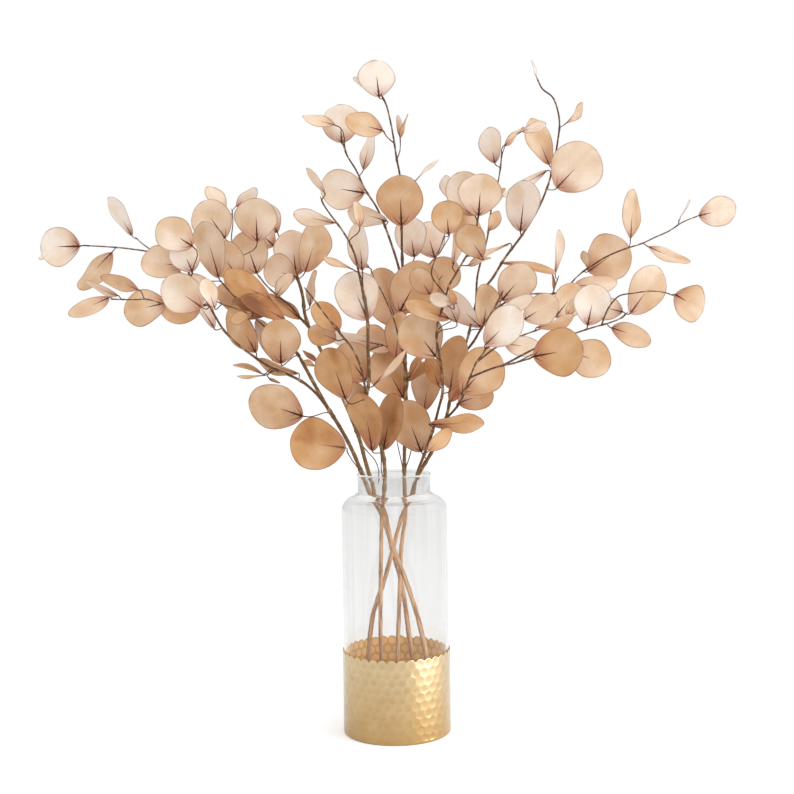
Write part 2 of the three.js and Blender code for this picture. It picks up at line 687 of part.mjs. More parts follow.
// At each point of a path, the way to place a point by its offsets square to the path. The
// directions of the offsets are carried along the path without twist.
function placesAlong(path, normal) {
  const carried = normal.clone();
  return path.map((point, i) => {
    const before = path[Math.max(i - 1, 0)];
    const after = path[Math.min(i + 1, path.length - 1)];
    const along = after.clone().sub(before).normalize();
    const up = carried.addScaledVector(along, -carried.dot(along)).normalize().clone();
    const side = along.clone().cross(up);
    return (x, y) => point.clone().addScaledVector(up, x).addScaledVector(side, y);
  });
}

// A twig as a tube.
function twigSolid({ name, way }) {
  const sides = name === 'main' ? MAIN_SIDES : TWIG_SIDES;
  const path = way.map(([x, z, depth]) => seen(x, z, depth));
  return loft(placesAlong(path, new THREE.Vector3(0, 1, 0)).map((place, i) =>
    Array.from({ length: sides }, (_, k) => {
      const angle = 2 * Math.PI * k / sides;
      return place(way[i][3] * Math.cos(angle), way[i][3] * Math.sin(angle));
    })));
}

// A leaf in one: the three-sided stalk from inside its twig, then the blade, with two columns
// beside its midrib, and the tip.
function leafSolid(leaf) {
  const rings = placesAlong([leaf.root, leaf.base], leaf.across).map((place, i) => {
    const half = (i ? STALK_THICK : leaf.rootThick) / 2;
    const [low, right, left] = [place(0, -half), place(half, half / 2), place(-half, half / 2)];
    return [low, low, right, right, left, left];
  });
  const half = LEAF_THICK / 2;
  for (const part of leaf.width < SMALL_LEAF ? SMALL_ROWS : LEAF_ROWS) {
    const under = [-1, 0, 1].map((side) => bladePoint(leaf, part, side, -half));
    const over = [1, 0, -1].map((side) => bladePoint(leaf, part, side, half));
    rings.push([...under, ...over]);
  }
  const [under, over] = [bladePoint(leaf, 1, 0, -half), bladePoint(leaf, 1, 0, half)];
  rings.push([under, under, under, over, over, over]);
  return loft(rings);
}

// A leafy stem as it grew: all its twigs and leaves in one, cut level at the foot.
function leafyStem({ twigs, leaves }) {
  const grown = wasm.Manifold.union([...twigs.map(twigSolid), ...leaves.map(leafSolid)]);
  return skinOf(grown.trimByPlane([0, 0, 1], STEM_FOOT).asOriginal().simplify(SLIVER));
}

const glass = new THREE.MeshStandardMaterial({
  color: 0xe6ebea, roughness: 0.05, metalness: 0, transparent: true, opacity: 0.35,
});
const gold = new THREE.MeshStandardMaterial({ color: 0xd6b47c, roughness: 0.35, metalness: 1 });
const driedLeaf = new THREE.MeshStandardMaterial({ color: 0xd9b48c, roughness: 0.75, metalness: 0 });

const part = new THREE.Group();

function add(name, surface, material) {
  surface.computeVertexNormals();
  const mesh = new THREE.Mesh(surface, material);
  mesh.name = name;
  part.add(mesh);
}

add('glass_vase', glassVase(), glass);
add('gold_honeycomb_cup', honeycombCup(), gold);
for (const stem of layOut()) add(stem.name, leafyStem(stem), driedLeaf);

export default part;
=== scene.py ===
"""Dried eucalyptus in a glass vase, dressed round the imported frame.

Five leafy stems fan out of a clear bottle vase that stands in a thin gold cup, hammered in a
honeycomb. The stems are worked out here by the same rule as their solids, so every twig, stalk and
blade lies where its solid does. Lengths are millimetres until a piece's mesh is made.
"""
import math
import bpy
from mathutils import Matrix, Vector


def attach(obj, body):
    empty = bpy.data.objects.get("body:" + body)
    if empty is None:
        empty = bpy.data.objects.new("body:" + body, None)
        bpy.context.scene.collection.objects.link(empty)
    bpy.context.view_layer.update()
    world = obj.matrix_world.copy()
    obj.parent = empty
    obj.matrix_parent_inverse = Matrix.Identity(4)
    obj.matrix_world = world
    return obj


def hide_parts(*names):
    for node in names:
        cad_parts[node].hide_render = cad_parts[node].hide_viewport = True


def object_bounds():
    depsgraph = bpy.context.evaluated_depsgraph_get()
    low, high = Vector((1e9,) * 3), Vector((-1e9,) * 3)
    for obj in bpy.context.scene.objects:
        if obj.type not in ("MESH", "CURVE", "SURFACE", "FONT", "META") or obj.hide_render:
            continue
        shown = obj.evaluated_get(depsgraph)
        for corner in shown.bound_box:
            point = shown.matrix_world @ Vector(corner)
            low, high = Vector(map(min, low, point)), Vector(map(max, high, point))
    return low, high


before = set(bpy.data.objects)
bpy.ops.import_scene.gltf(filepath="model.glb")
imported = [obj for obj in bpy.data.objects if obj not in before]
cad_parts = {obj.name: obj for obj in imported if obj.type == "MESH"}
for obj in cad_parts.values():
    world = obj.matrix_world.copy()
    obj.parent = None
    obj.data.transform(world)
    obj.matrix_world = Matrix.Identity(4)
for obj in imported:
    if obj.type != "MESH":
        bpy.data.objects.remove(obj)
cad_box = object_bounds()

from types import SimpleNamespace

import bpy
import numpy as np
from mathutils import Matrix, Vector

MM = 0.001

# The front view in which the bunch is laid out, which is also the camera's place
EYE = (5, -1565, 480)
PITCH_DEG = 3.5
ROLL_DEG = 0.85
FOCAL_PX = 1380
PICTURE_PX = 794
SENSOR_MM = 36

# The glass vase. The shoulder turns in by so many degrees before the hollow round of the neck
# takes over, whose centre stands over the neck's foot. The lip is a bead on top, and the profile
# ends near the axis, in small flats.
VASE_TOP = 298
VASE_FOOT = 1.3
BODY_RADIUS = 60.4
NECK_RADIUS = 41.5
NECK_FOOT = 276
NECK_ROUND = 3.2
NECK_ROUND_UP = 1.5
BORE_FOOT = NECK_FOOT - 1
GLASS_WALL = 2.7
GLASS_FLOOR = 4.7
FOOT_ROUND = 4
SHOULDER_ROUND = 17
SHOULDER_DROP = 4
SHOULDER_TURN = 78
LIP_FOOT = VASE_TOP - 6
LIP_ROUND = GLASS_WALL / 2 + 0.4
LIP_OUT = 1
POLE = 0.05

# The gold honeycomb cup, whose hammered dishes differ in depth and lean a little
CUP_RADIUS = 61.8
CUP_FOOT_RADIUS = 60.4
CUP_FOOT_HEIGHT = 2.6
CUP_SHEET = 0.6
CELLS_ROUND = 36
CELL_ROWS = 10
HALF_CELL = math.pi * CUP_RADIUS / CELLS_ROUND
CELL_SIDE = 2 * HALF_CELL / math.sqrt(3)
FIRST_ROW = 5.9
DISH_LEAST = 0.22
DISH_MORE = 0.24
DISH_LEAN = 0.08

# The twigs. A stem's lowest ring stands clear of the glass floor, a knot swells a twig on both
# sides of its middle, short and long gnarls roughen it, and its last two rings shrink. Below the
# first height the bark is painted paler, for the glass's whitening reflection, and fully so below the
# second.
TIP_THICKNESS = 0.6
LEAST_THICK = 1.2
STEM_FOOT = VASE_FOOT + GLASS_FLOOR + 0.8
KNOT_SWELL = 0.32
KNOT_REACH = 2.4
MOST_SWELL = 0.4
SHORT_GNARL = 0.05
LONG_GNARL = 0.04
TIP_BLUNT = (0.8, 0.45)
PALE_BARK_TOP = 310
PALE_BARK_FULL = 230

# The leaves, as in their solids, with a real blade's thickness: the skew and the blunt power of
# their outline, the length over the width of a full and of a slim leaf, the width over the length
# below which a leaf is a slim one, the least turn about the midrib, and how much a blade cups,
# arches and waves. Then where the stalk leaves the twig, how thick it is, how stiffly it keeps
# the headings of its two ends, the midrib of a leaf of the stated width, the part of the blade that
# it runs through, how much paler some ribs are, and the edge's curl.
BLADE_THICK = 0.45
OUTLINE_SKEW = 1.2
OUTLINE_BLUNT = 0.5
FULL_RATIO = 1.12
SLIM_RATIO = 1.25
SLIM_BELOW = 0.6
LEAST_TURN = 0.12
CUPPING = 0.3
ARCHING = 0.13
WAVING = 0.06
STALK_BACK = 3
STALK_RADIUS = 0.72
STALK_PULL = 0.45
HEADING_STEP = 2
RIB_RADIUS = 1.35
RIB_FULL_WIDTH = 45
RIB_LEAST = 0.42
RIB_MORE = 0.25
RIB_PALER = 0.2
RIB_FADED = 0.75
FADED_SHARE = 0.2
EDGE_CURL = 2.4
EDGE_WAVER = 0.045

# How finely the pieces are made: where a blade's rows begin and end, its rows and columns, the
# rings of a stalk, a midrib and a side vein, and their sides
BLADE_SPAN = (0.03, 0.985)
BLADE_ROWS = 20
BLADE_COLUMNS = 13
STALK_RINGS = 8
STALK_SIDES = 6
RIB_RINGS = 9
VEIN_RINGS = 5
VEIN_SIDES = 4
TWIG_STEP = 2.5
TWIG_SIDES = 10
GLASS_STEPS = 144
CELL_SPLIT = 2
CELL_RINGS = (0, 0.3, 0.6, 0.85, 1)
CUP_FOOT_RINGS = 6

# For each pair of side veins, where it leaves the midrib and how long it is, as parts of the
# blade, and how thick it is, as a part of the midrib
VEINS = ((0.02, 0.27, 0.62), (0.14, 0.17, 0.4))

# Leaf colours by tone
LEAF_TONES = (
    (0.0, "#fff2e5"), (0.15, "#f8e2cb"), (0.3, "#edd2b6"), (0.45, "#e3c09c"), (0.6, "#d7aa7e"),
    (0.75, "#cd9a66"), (0.9, "#b37748"), (1.0, "#895432"),
)

# The soft dome: its even part and how much it gains upwards, backwards and to the right
DOME_EVEN = 0.64
DOME_UP = 0.42
DOME_BACK = 0.1
DOME_RIGHT = 0.14

# The floor's reach in metres, and how much brighter the camera sees it
FLOOR_REACH = 6.0
FLOOR_GLOW = 0.2

# Light goes through both walls of the bottle at each turn inside the cup. Past so many turns in a
# wall, a ray meets a painted glow, which stands for the light that would get out of it
MOST_BOUNCES = 32
WALL_TURNS = 9.5

# Lamps, in metres: name, place, the point that it faces, width and height, radiance, and how wide
# it spreads in degrees
LAMPS = (
    ("right_softbox", (1.15, -0.8, 0.62), (0, 0, 0.3), (0.8, 1.1), 1.3, 180),
    ("low_panel", (0.5, -0.2, 0.16), (0, 0, 0.07), (0.5, 0.3), 1.0, 70),
    ("overhead", (-0.3, -0.5, 2.3), (0, 0, 0.4), (1.6, 1.6), 1.2, 180),
)

# How far a leaf keeps from others, how far past its edge and its ends that holds, and how much of
# its own twig it may come near
LEAF_GAP = 2.4
TWIG_GAP = 1.2
EDGE_GAP = 1.5
END_GAP = 0.03
OWN_REACH = 15

# The ways in which a leaf may step aside or lean, how many millimetres a lean of 1 counts as, and
# the number of the first draw for the side to which a leaf turns
STEPS_ASIDE = (0, 6, -6, 12, -12, 18, -18, 26, -26)
LEANS = (0, 0.3, -0.3)
LEAN_COST = 20
FIRST_HAND = 1000

# The marks at which leaves and twigs are tested: how many on an edge and inside it, and how far
# apart along a twig
EDGE_MARKS = 13
INNER_MARKS = 5
TWIG_MARK_STEP = 5

# The bunch. Each twig has its name, the twig that it grows from, its thickness at the root, the
# depth that its tip reaches (negative is nearer), the points that it passes in the front view,
# with their depth inside the vase, and its leaves: where the blade starts, the way it points in
# degrees (0 right, 90 up), the length and width that it shows from the front, and its tone, from
# 0, a pale cream, to 1, a dark red-brown.
STEMS = {
    "leafy_stem_far_left": [
        ["main", "", 6.6, -10, [
            [45, -4, -20], [25, 131, -13], [-2, 213, -9], [-18, 258, -7], [-27, 278, -5], [-36, 297, -4],
            [-45, 320], [-60, 350], [-75, 375], [-90, 403], [-105, 432],
        ], [
            [-102, 364, 161, 65, 54, 0.52],
        ]],
        ["stalk", "main", 1.6, -25, [
            [-38, 300], [-46, 311], [-54, 325],
        ], [
            [-54, 327, 171, 64, 62, 0.74],
        ]],
        ["inner", "main", 3.4, 45, [
            [-105, 432], [-118, 452], [-130, 470], [-148, 493], [-165, 515], [-172, 521],
        ], [
            [-172, 521, 122, 48, 42, 0.42], [-138, 432, 105, 45, 16, 0.2], [-147, 449, 122, 30, 6, 0.9],
            [-140, 480, 160, 42, 26, 0.5], [-160, 490, 150, 42, 30, 0.42], [-126, 424, 91, 50, 45, 0.5],
            [-136, 497, 168, 58, 31, 0.72], [-120, 473, 163, 54, 20, 0.95],
        ]],
        ["orange", "inner", 2.2, 5, [
            [-150, 496], [-165, 488], [-173, 497], [-182, 506], [-195, 522],
        ], [
            [-194, 522, 104, 66, 40, 0.35], [-205, 519, 165, 26, 8, 0.22],
        ]],
        ["spur", "inner", 2.4, -95, [
            [-120, 455], [-137, 461], [-150, 472], [-160, 480], [-175, 487], [-190, 492], [-198, 496],
        ], [
            [-200, 488, 108, 36, 16, 0.2], [-158, 482, 205, 26, 14, 0.6],
        ]],
        ["upright", "inner", 2, 120, [
            [-158, 507], [-165, 525], [-174, 545], [-179, 565], [-177, 585], [-178, 600],
        ], [
            [-186, 566, 124, 50, 46, 0.3], [-185, 597, 131, 34, 17, 0.25], [-173, 602, 40, 31, 13, 0],
            [-150, 562, 92, 49, 48, 0.3],
        ]],
        ["low", "main", 3.4, -45, [
            [-70, 369], [-88, 391], [-102, 403], [-117, 411], [-138, 420], [-157, 433], [-178, 450],
            [-190, 463], [-200, 480], [-207, 494], [-216, 506], [-224, 519], [-230, 532],
        ], [
            [-224, 529, 112, 42, 34, 0.05], [-234, 536, 173, 48, 38, 0.32], [-223, 558, 147, 46, 40, 0.3],
            [-154, 437, 118, 60, 33, 0.62], [-146, 411, 180, 30, 4, 0.6], [-148, 413, 155, 34, 4, 0.5],
            [-107, 413, 180, 46, 16, 0.6], [-201, 465, 104, 66, 18, 0.02], [-214, 489, 145, 50, 46, 0.22],
            [-216, 491, 197, 44, 33, 0.6], [-140, 408, 330, 14, 4, 0.9],
        ]],
        ["far", "low", 2.4, 55, [
            [-214, 503], [-235, 526], [-252, 542], [-268, 551], [-292, 556], [-320, 559], [-350, 561],
        ], [
            [-350, 560, 180, 46, 46, 0.1], [-362, 556, 196, 36, 12, 0.1], [-314, 553, 222, 56, 17, 0.45],
        ]],
        ["far_up", "far", 1.8, 75, [
            [-262, 548], [-272, 556], [-281, 563], [-288, 570],
        ], [
            [-291, 571, 117, 50, 21, 0],
        ]],
        ["far_low", "low", 2.2, -120, [
            [-206, 492], [-230, 489], [-255, 493], [-275, 499], [-292, 499], [-318, 500],
        ], [
            [-254, 495, 192, 50, 41, 0.45], [-319, 502, 203, 50, 16, 0.4], [-309, 504, 162, 40, 11, 0.2],
            [-285, 510, 155, 45, 17, 0.5],
        ]],
    ],
    "leafy_stem_left": [
        ["main", "", 6.2, 150, [
            [28, 11, 30], [16, 100, 28], [5.5, 177, 25], [-3.5, 211, 23], [-12, 258, 21], [-28, 297, 20],
            [-33, 315], [-37, 332], [-50, 368], [-57, 385], [-70, 415], [-85, 448], [-92, 462],
            [-98, 480], [-100, 500], [-107, 523], [-122, 543], [-130, 555],
        ], [
            [-131, 557, 137, 42, 36, 0.1], [-107, 523, 95, 52, 42, 0.15], [-97, 527, 70, 58, 34, 0.42],
            [-107, 522, 166, 37, 40, 0.18], [-92, 488, 82, 42, 12, 0.25], [-85, 424, 132, 22, 4, 0.9],
            [-88, 421, 158, 14, 7, 0.6], [-127, 572, 118, 36, 27, 0.15],
        ]],
        ["side", "main", 3, 95, [
            [-93, 463], [-105, 478], [-115, 490], [-127, 500], [-140, 512], [-151, 526],
        ], [
            [-151, 526, 108, 50, 44, 0.38], [-103, 474, 138, 46, 14, 0.78], [-130, 500, 60, 32, 16, 0.3],
        ]],
        ["loop", "main", 1.4, 27, [
            [-36, 331], [-30, 323], [-21, 312], [-17, 300], [-18, 288],
        ], []],
    ],
    "leafy_stem_centre": [
        ["main", "", 5.6, -75, [
            [-14, 8, 20], [-18, 100, 4], [-17, 165, -8], [-16, 200, -14], [-14, 252, -23],
            [-10, 297, -30], [-12, 320], [-20, 345], [-28, 368], [-30, 385], [-27, 400], [-27, 440],
            [-27, 470], [-29, 490], [-33, 510],
        ], [
            [-27, 472, 112, 58, 52, 0.12], [-21, 398, 52, 54, 8, 0.35], [-30, 403, 125, 50, 44, 0.6],
            [-24, 323, 84, 68, 38, 0.75], [-11, 324, 80, 66, 32, 0.72], [-12, 444, 167, 66, 22, 0.05],
            [-32, 528, 93, 54, 25, 0.1], [-42, 529, 155, 38, 7, 0.45], [-28, 370, 132, 38, 28, 0.38],
        ]],
        ["spike", "main", 1.5, -58, [
            [-14, 288], [-14, 300], [-14, 313], [-15, 326],
        ], []],
        ["upper", "main", 2.6, -130, [
            [-33, 510], [-36, 525], [-40, 545], [-53, 572], [-66, 590], [-76, 606], [-78, 612],
        ], [
            [-73, 616, 119, 34, 8, 0.2], [-62, 582, 167, 48, 15, 0.25], [-34, 577, 96, 30, 12, 0.3],
        ]],
        ["front", "main", 2.8, -150, [
            [-29, 378], [-36, 420], [-45, 440], [-59, 458], [-72, 475], [-85, 493], [-98, 510],
        ], [
            [-53, 382, 108, 63, 42, 0.72], [-59, 461, 128, 42, 28, 0.72], [-63, 450, 155, 34, 26, 0.58],
        ]],
    ],
    "leafy_stem_top": [
        ["main", "", 5.8, 40, [
            [-4, -6, -25], [1, 85, -12], [5, 166, 3], [8, 217, 13], [13, 252, 24], [12, 297, 33],
            [13, 333], [15, 380], [15, 410], [14, 450], [14, 508], [13, 550],
        ], [
            [12, 383, 118, 62, 44, 0.6], [17, 403, 45, 30, 14, 0.65], [20, 408, 56, 36, 8, 0.7],
            [9, 480, 62, 64, 54, 0.5], [0, 438, 150, 44, 30, 0.35], [36, 368, 96, 58, 34, 0.45],
            [8, 462, 109, 72, 46, 0.45], [4, 428, 96, 52, 28, 0.5], [44, 503, 52, 45, 40, 0.5],
        ]],
        ["orange", "main", 2.4, -20, [
            [13, 540], [13, 560], [12, 578],
        ], [
            [13, 577, 92, 57, 53, 0.56],
        ]],
        ["top", "main", 3, 20, [
            [13, 550], [13, 600], [11, 640], [9, 650], [6, 672], [3, 690], [1, 700], [-2, 712], [-8, 725],
        ], [
            [-10, 721, 96, 42, 42, 0.03], [-13, 728, 152, 30, 6, 0.1], [26, 624, 48, 40, 5, 0.15],
        ]],
        ["top_spur", "top", 1.6, 5, [
            [6, 670], [0, 675], [-7, 685],
        ], [
            [-6, 684, 166, 44, 30, 0.45],
        ]],
        ["bud", "top", 1.4, 30, [
            [9, 652], [12, 660], [13, 678],
        ], [
            [12, 679, 93, 22, 7, 0.1], [13, 676, 70, 28, 3, 0.6],
        ]],
        ["top_left", "main", 3.2, 110, [
            [14, 508], [8, 535], [2, 555], [-6, 578], [-14, 597], [-28, 620], [-38, 642], [-47, 657],
            [-52, 673],
        ], [
            [-53, 671, 94, 43, 45, 0.08], [-60, 691, 165, 38, 15, 0.3], [-29, 641, 76, 50, 15, 0.1],
            [-28, 615, 170, 50, 46, 0.15], [-3, 583, 160, 46, 20, 0.2],
        ]],
        ["pale", "main", 2, 130, [
            [14, 500], [20, 520], [24, 533], [27, 542],
        ], [
            [27, 542, 97, 46, 36, 0.05], [50, 541, 105, 42, 36, 0.08], [60, 482, 132, 34, 28, 0.25],
            [69, 606, 103, 28, 13, 0],
        ]],
        ["crossing", "main", 2, -75, [
            [14, 430], [8, 450], [5, 465], [-3, 487], [-10, 503], [-18, 518], [-23, 530],
        ], [
            [-24, 531, 140, 26, 9, 0.2],
        ]],
        ["spike", "main", 1.5, 44, [
            [12, 295], [9, 310], [4, 334],
        ], []],
        ["spur", "main", 1.6, 20, [
            [13, 300], [17, 312], [22, 330],
        ], []],
    ],
    "leafy_stem_right": [
        ["main", "", 6.8, 5, [
            [-45, 5, 10], [-32, 91, 9], [-27, 131, 9], [-10, 183, 8.5], [-2, 211, 8.5], [9, 249, 8],
            [29, 297, 8], [37, 310], [45, 323],
        ], [
            [32, 321, 111, 62, 50, 0.5],
        ]],
        ["inner", "main", 3.8, -45, [
            [22, 280], [28, 300], [37, 323], [45, 345], [52, 370], [57, 390], [57, 402], [54, 430],
            [51, 450], [52, 467],
        ], [
            [50, 429, 126, 57, 52, 0.45], [66, 472, 163, 54, 20, 0.6], [52, 397, 108, 34, 19, 0.75],
            [42, 353, 0, 62, 24, 0.68], [66, 392, 83, 62, 36, 0.62], [40, 322, 48, 36, 20, 0.65],
            [74, 468, 112, 36, 18, 0],
        ]],
        ["mid", "inner", 2.6, -85, [
            [52, 467], [57, 482], [61, 495], [66, 510], [73, 522], [84, 540], [90, 550], [95, 563],
            [99, 582],
        ], [
            [100, 587, 90, 46, 50, 0.28], [96, 588, 112, 52, 44, 0.15], [70, 531, 80, 54, 15, 0.22],
            [104, 541, 122, 42, 32, 0.5], [104, 592, 36, 30, 7, 0.6], [87, 532, 15, 28, 7, 0.4],
            [72, 490, 168, 30, 16, 0.12], [71, 488, 100, 24, 8, 0.8], [103, 558, 128, 40, 26, 0.5],
        ]],
        ["mid_left", "mid", 1.8, -130, [
            [62, 498], [46, 526], [50, 538], [56, 552], [62, 568],
        ], [
            [66, 567, 95, 38, 38, 0.58], [44, 500, 120, 34, 26, 0.5],
        ]],
        ["outer", "main", 4.2, 10, [
            [43, 320], [49, 330], [57, 348], [62, 365], [66, 385], [69, 399], [73, 415], [79, 430],
            [86, 450], [92, 475], [96, 490],
        ], [
            [102, 462, 124, 58, 27, 0], [66, 378, 62, 32, 20, 0.95],
        ]],
        ["right_top", "outer", 2.6, 60, [
            [96, 490], [98, 520], [103, 540], [109, 560], [112, 580], [117, 607], [121, 620], [125, 640],
            [127, 660],
        ], [
            [119, 646, 100, 41, 24, 0.05], [130, 666, 38, 30, 6, 0.3], [150, 681, 22, 28, 10, 0.1],
            [116, 601, 45, 22, 6, 0.5], [112, 571, 68, 24, 14, 0.4],
        ]],
        ["high", "outer", 3.2, 165, [
            [95, 488], [104, 504], [114, 516], [128, 538], [150, 567], [170, 600], [179, 622], [184, 640],
            [190, 671], [192, 688], [190, 704], [184, 719], [173, 728], [167, 740],
        ], [
            [167, 740, 112, 20, 5, 0.08], [147, 569, 83, 58, 36, 0], [178, 637, 207, 58, 11, 0.1],
            [188, 617, 46, 61, 61, 0.2], [180, 643, 113, 56, 31, 0.4], [199, 689, 42, 30, 8, 0.35],
            [126, 534, 352, 62, 12, 0.72], [134, 556, 206, 44, 7, 0.3],
        ]],
        ["wide", "outer", 3.2, -35, [
            [79, 430], [92, 445], [103, 463], [115, 480], [122, 494], [127, 503],
        ], [
            [125, 492, 50, 50, 43, 0.28], [104, 463, 80, 48, 32, 0.48], [128, 481, 42, 34, 18, 0.2],
        ]],
        ["across", "wide", 2.6, 95, [
            [115, 480], [128, 489], [142, 497], [165, 499], [185, 499], [197, 504], [210, 517],
            [222, 527],
        ], [
            [223, 523, 34, 55, 54, 0.38], [206, 506, 6, 50, 22, 0.35], [222, 527, 96, 20, 6, 0.4],
            [150, 470, 32, 44, 36, 0.3], [185, 472, 50, 46, 38, 0.38],
        ]],
        ["twist", "across", 1.6, 110, [
            [183, 499], [186, 508], [190, 519],
        ], [
            [186, 521, 88, 50, 13, 0.12], [184, 503, 97, 18, 5, 0.9],
        ]],
        ["tip", "across", 2.2, 60, [
            [218, 523], [245, 540], [268, 549], [282, 553], [300, 561], [314, 567], [330, 577],
            [348, 584],
        ], [
            [348, 584, 13, 43, 34, 0.15], [271, 559, 86, 56, 26, 0.35], [291, 550, 333, 50, 17, 0.4],
            [326, 579, 68, 26, 4, 0.05],
        ]],
        ["front", "outer", 2.8, -140, [
            [60, 358], [75, 375], [85, 398], [90, 410], [96, 423], [103, 432], [108, 441],
        ], [
            [106, 442, 42, 56, 40, 0.1], [79, 388, 47, 61, 55, 0.6], [74, 376, 20, 42, 30, 0.5],
            [109, 439, 57, 30, 5, 0.8],
        ]],
        ["low", "front", 2.6, -175, [
            [88, 405], [105, 412], [120, 417], [135, 420], [150, 424], [160, 427],
        ], [
            [160, 428, 9, 57, 56, 0.7], [199, 434, 340, 52, 45, 0.45],
        ]],
        ["shelf", "front", 2.4, -60, [
            [96, 423], [125, 443], [148, 452], [165, 458], [182, 464], [199, 473],
        ], [
            [165, 461, 12, 44, 14, 0.5], [199, 474, 60, 20, 10, 0.3], [128, 443, 353, 42, 24, 0.22],
        ]],
        ["long", "low", 2.4, -90, [
            [125, 418], [165, 438], [190, 447], [203, 452], [225, 459], [250, 466], [260, 470],
            [268, 477],
        ], [
            [222, 462, 78, 48, 44, 0.08], [249, 459, 342, 48, 27, 0.4], [270, 475, 52, 62, 46, 0.35],
            [262, 477, 165, 36, 26, 0.15],
        ]],
        ["long_top", "long", 1.8, -150, [
            [238, 462], [246, 482], [258, 495], [275, 498], [295, 500], [310, 498], [321, 494],
        ], [
            [321, 496, 333, 42, 44, 0.4],
        ]],
    ],
}


def seen(x, z, depth):
    """Points on lines of sight: a place of the front view drawn away from the eye to each depth."""
    x, z, depth = np.broadcast_arrays(x, z, depth)
    scale = 1 - depth / EYE[1]
    return np.stack([EYE[0] + (x - EYE[0]) * scale, depth, EYE[2] + (z - EYE[2]) * scale], axis=-1)


def draw(number):
    """A draw between 0 and 1, the same each time for a number: the fraction of a large sine."""
    value = np.sin(number * 12.9898 + 4.1) * 43758.5453
    return value - np.floor(value)


def unit(vectors):
    """Vectors over their lengths."""
    return vectors / np.linalg.norm(vectors, axis=-1, keepdims=True)


def place_on(twig, distance):
    """A twig's x, z, depth and radius at distances from its root, each a straight mix."""
    return np.stack([np.interp(distance, twig.at, column) for column in twig.way.T], axis=-1)


def nearest_on(twig, x, z):
    """How far a place lies off a twig, and how far from its root: the least over its stretches."""
    start, step = twig.way[:-1, :2], np.diff(twig.way[:, :2], axis=0)
    ahead = ((x - start[:, 0]) * step[:, 0] + (z - start[:, 1]) * step[:, 1]) / (step**2).sum(1)
    part = np.clip(ahead, 0, 1)
    off = np.hypot(*(start + step * part[:, None] - (x, z)).T)
    best = off.argmin()
    return off[best], twig.at[best] + part[best] * (twig.at[best + 1] - twig.at[best])


def twig_of(carrier, thick, tip_depth, given, shown):
    """A twig's way: depth runs evenly from its last stated depth to its tip's, and radius shrinks."""
    way = np.array([(*point, np.nan)[:3] for point in given], float)
    if carrier:
        way[0] = place_on(carrier, nearest_on(carrier, *way[0, :2])[1])[:3]
    at = np.append(0, np.cumsum(np.hypot(*np.diff(way[:, :2], axis=0).T)))
    start = np.flatnonzero(~np.isnan(way[:, 2]))[-1]
    beyond = at > at[start]
    depth = way[start, 2]
    way[beyond, 2] = depth + (tip_depth - depth) * (at[beyond] - at[start]) / (at[-1] - at[start])
    radius = np.maximum(thick * (1 - (1 - TIP_THICKNESS) * at / at[-1]), LEAST_THICK) / 2
    return SimpleNamespace(way=np.column_stack([way, radius]), at=at, shown=shown, knots=[])


def half_width(leaf, part):
    """Half a blade's width: a blunt power of a sine, whose peak lies past the middle."""
    wave = np.maximum(np.sin(np.pi * part**OUTLINE_SKEW), 0)
    return leaf.width / 2 * wave**OUTLINE_BLUNT


def rise(leaf, part, side):
    """A blade's height over its plane: a parabola along, one across, and a wave at the edge."""
    out = side * half_width(leaf, part)
    cupped = leaf.cup * 2 * out**2 / leaf.width
    waved = leaf.wave * 2 * out * np.sin(2 * np.pi * part)
    return leaf.arch * leaf.length * part**2 + cupped + waved


def blade_points(leaf, part, side, height=0, spread=1):
    """Points of a blade: along its length, out to the sides and up by its rise."""
    out = side * half_width(leaf, part) * spread
    up = rise(leaf, part, side) + height
    length = leaf.length * part
    return (leaf.base + leaf.along * length[..., None] + leaf.across * out[..., None]
            + leaf.normal * up[..., None])


def leaf_of(shown, number, twig, aside, lean, hand):
    """A leaf from what it shows. A narrow one is turned about its midrib by the angle whose cosine
    is the width that it shows over its full width, and a short one leans in the same way."""
    x, z, angle, length, width, tone = shown
    off, distance = nearest_on(twig, x, z)
    # The stalk leaves its twig a little before the blade, but not before the twig begins
    back = max(distance - STALK_BACK - off / 2, 0)
    root = place_on(twig, back)
    before, after = (seen(*place_on(twig, back + step)[:3]) for step in (-HEADING_STEP, HEADING_STEP))
    depth = place_on(twig, distance)[2] + aside
    scale = 1 - depth / EYE[1]
    ratio = SLIM_RATIO if width < SLIM_BELOW * length else FULL_RATIO
    full_width = max(width, length / ratio)
    turn = hand * max(math.acos(width / full_width), LEAST_TURN)
    leaning = hand * math.acos(min(length / full_width, 1)) + lean
    heading = math.radians(angle)
    ahead = np.array([math.cos(heading), 0, math.sin(heading)])
    beside = np.array([-math.sin(heading), 0, math.cos(heading)])
    facing = np.array([0, -1, 0])
    turned = facing * math.cos(turn) - beside * math.sin(turn)
    return SimpleNamespace(
        root=seen(*root[:3]),
        root_radius=root[3],
        root_heading=unit(after - before),
        base=seen(x, z, depth),
        along=ahead * math.cos(leaning) + turned * math.sin(leaning),
        across=beside * math.cos(turn) + facing * math.sin(turn),
        normal=turned * math.cos(leaning) - ahead * math.sin(leaning),
        length=length * scale / math.cos(leaning),
        width=full_width * scale,
        cup=CUPPING * (draw(3 * number) - 0.25),
        arch=ARCHING * (2 * draw(3 * number + 1) - 1),
        wave=WAVING * (2 * draw(3 * number + 2) - 1),
        tone=tone,
        number=float(number),
    )


def together(leaves):
    """Leaves as one whose values stand in columns, so that a formula takes them all at once."""
    keys = vars(leaves[0])
    return SimpleNamespace(**{key: np.array([getattr(leaf, key) for leaf in leaves])[:, None]
                              for key in keys})


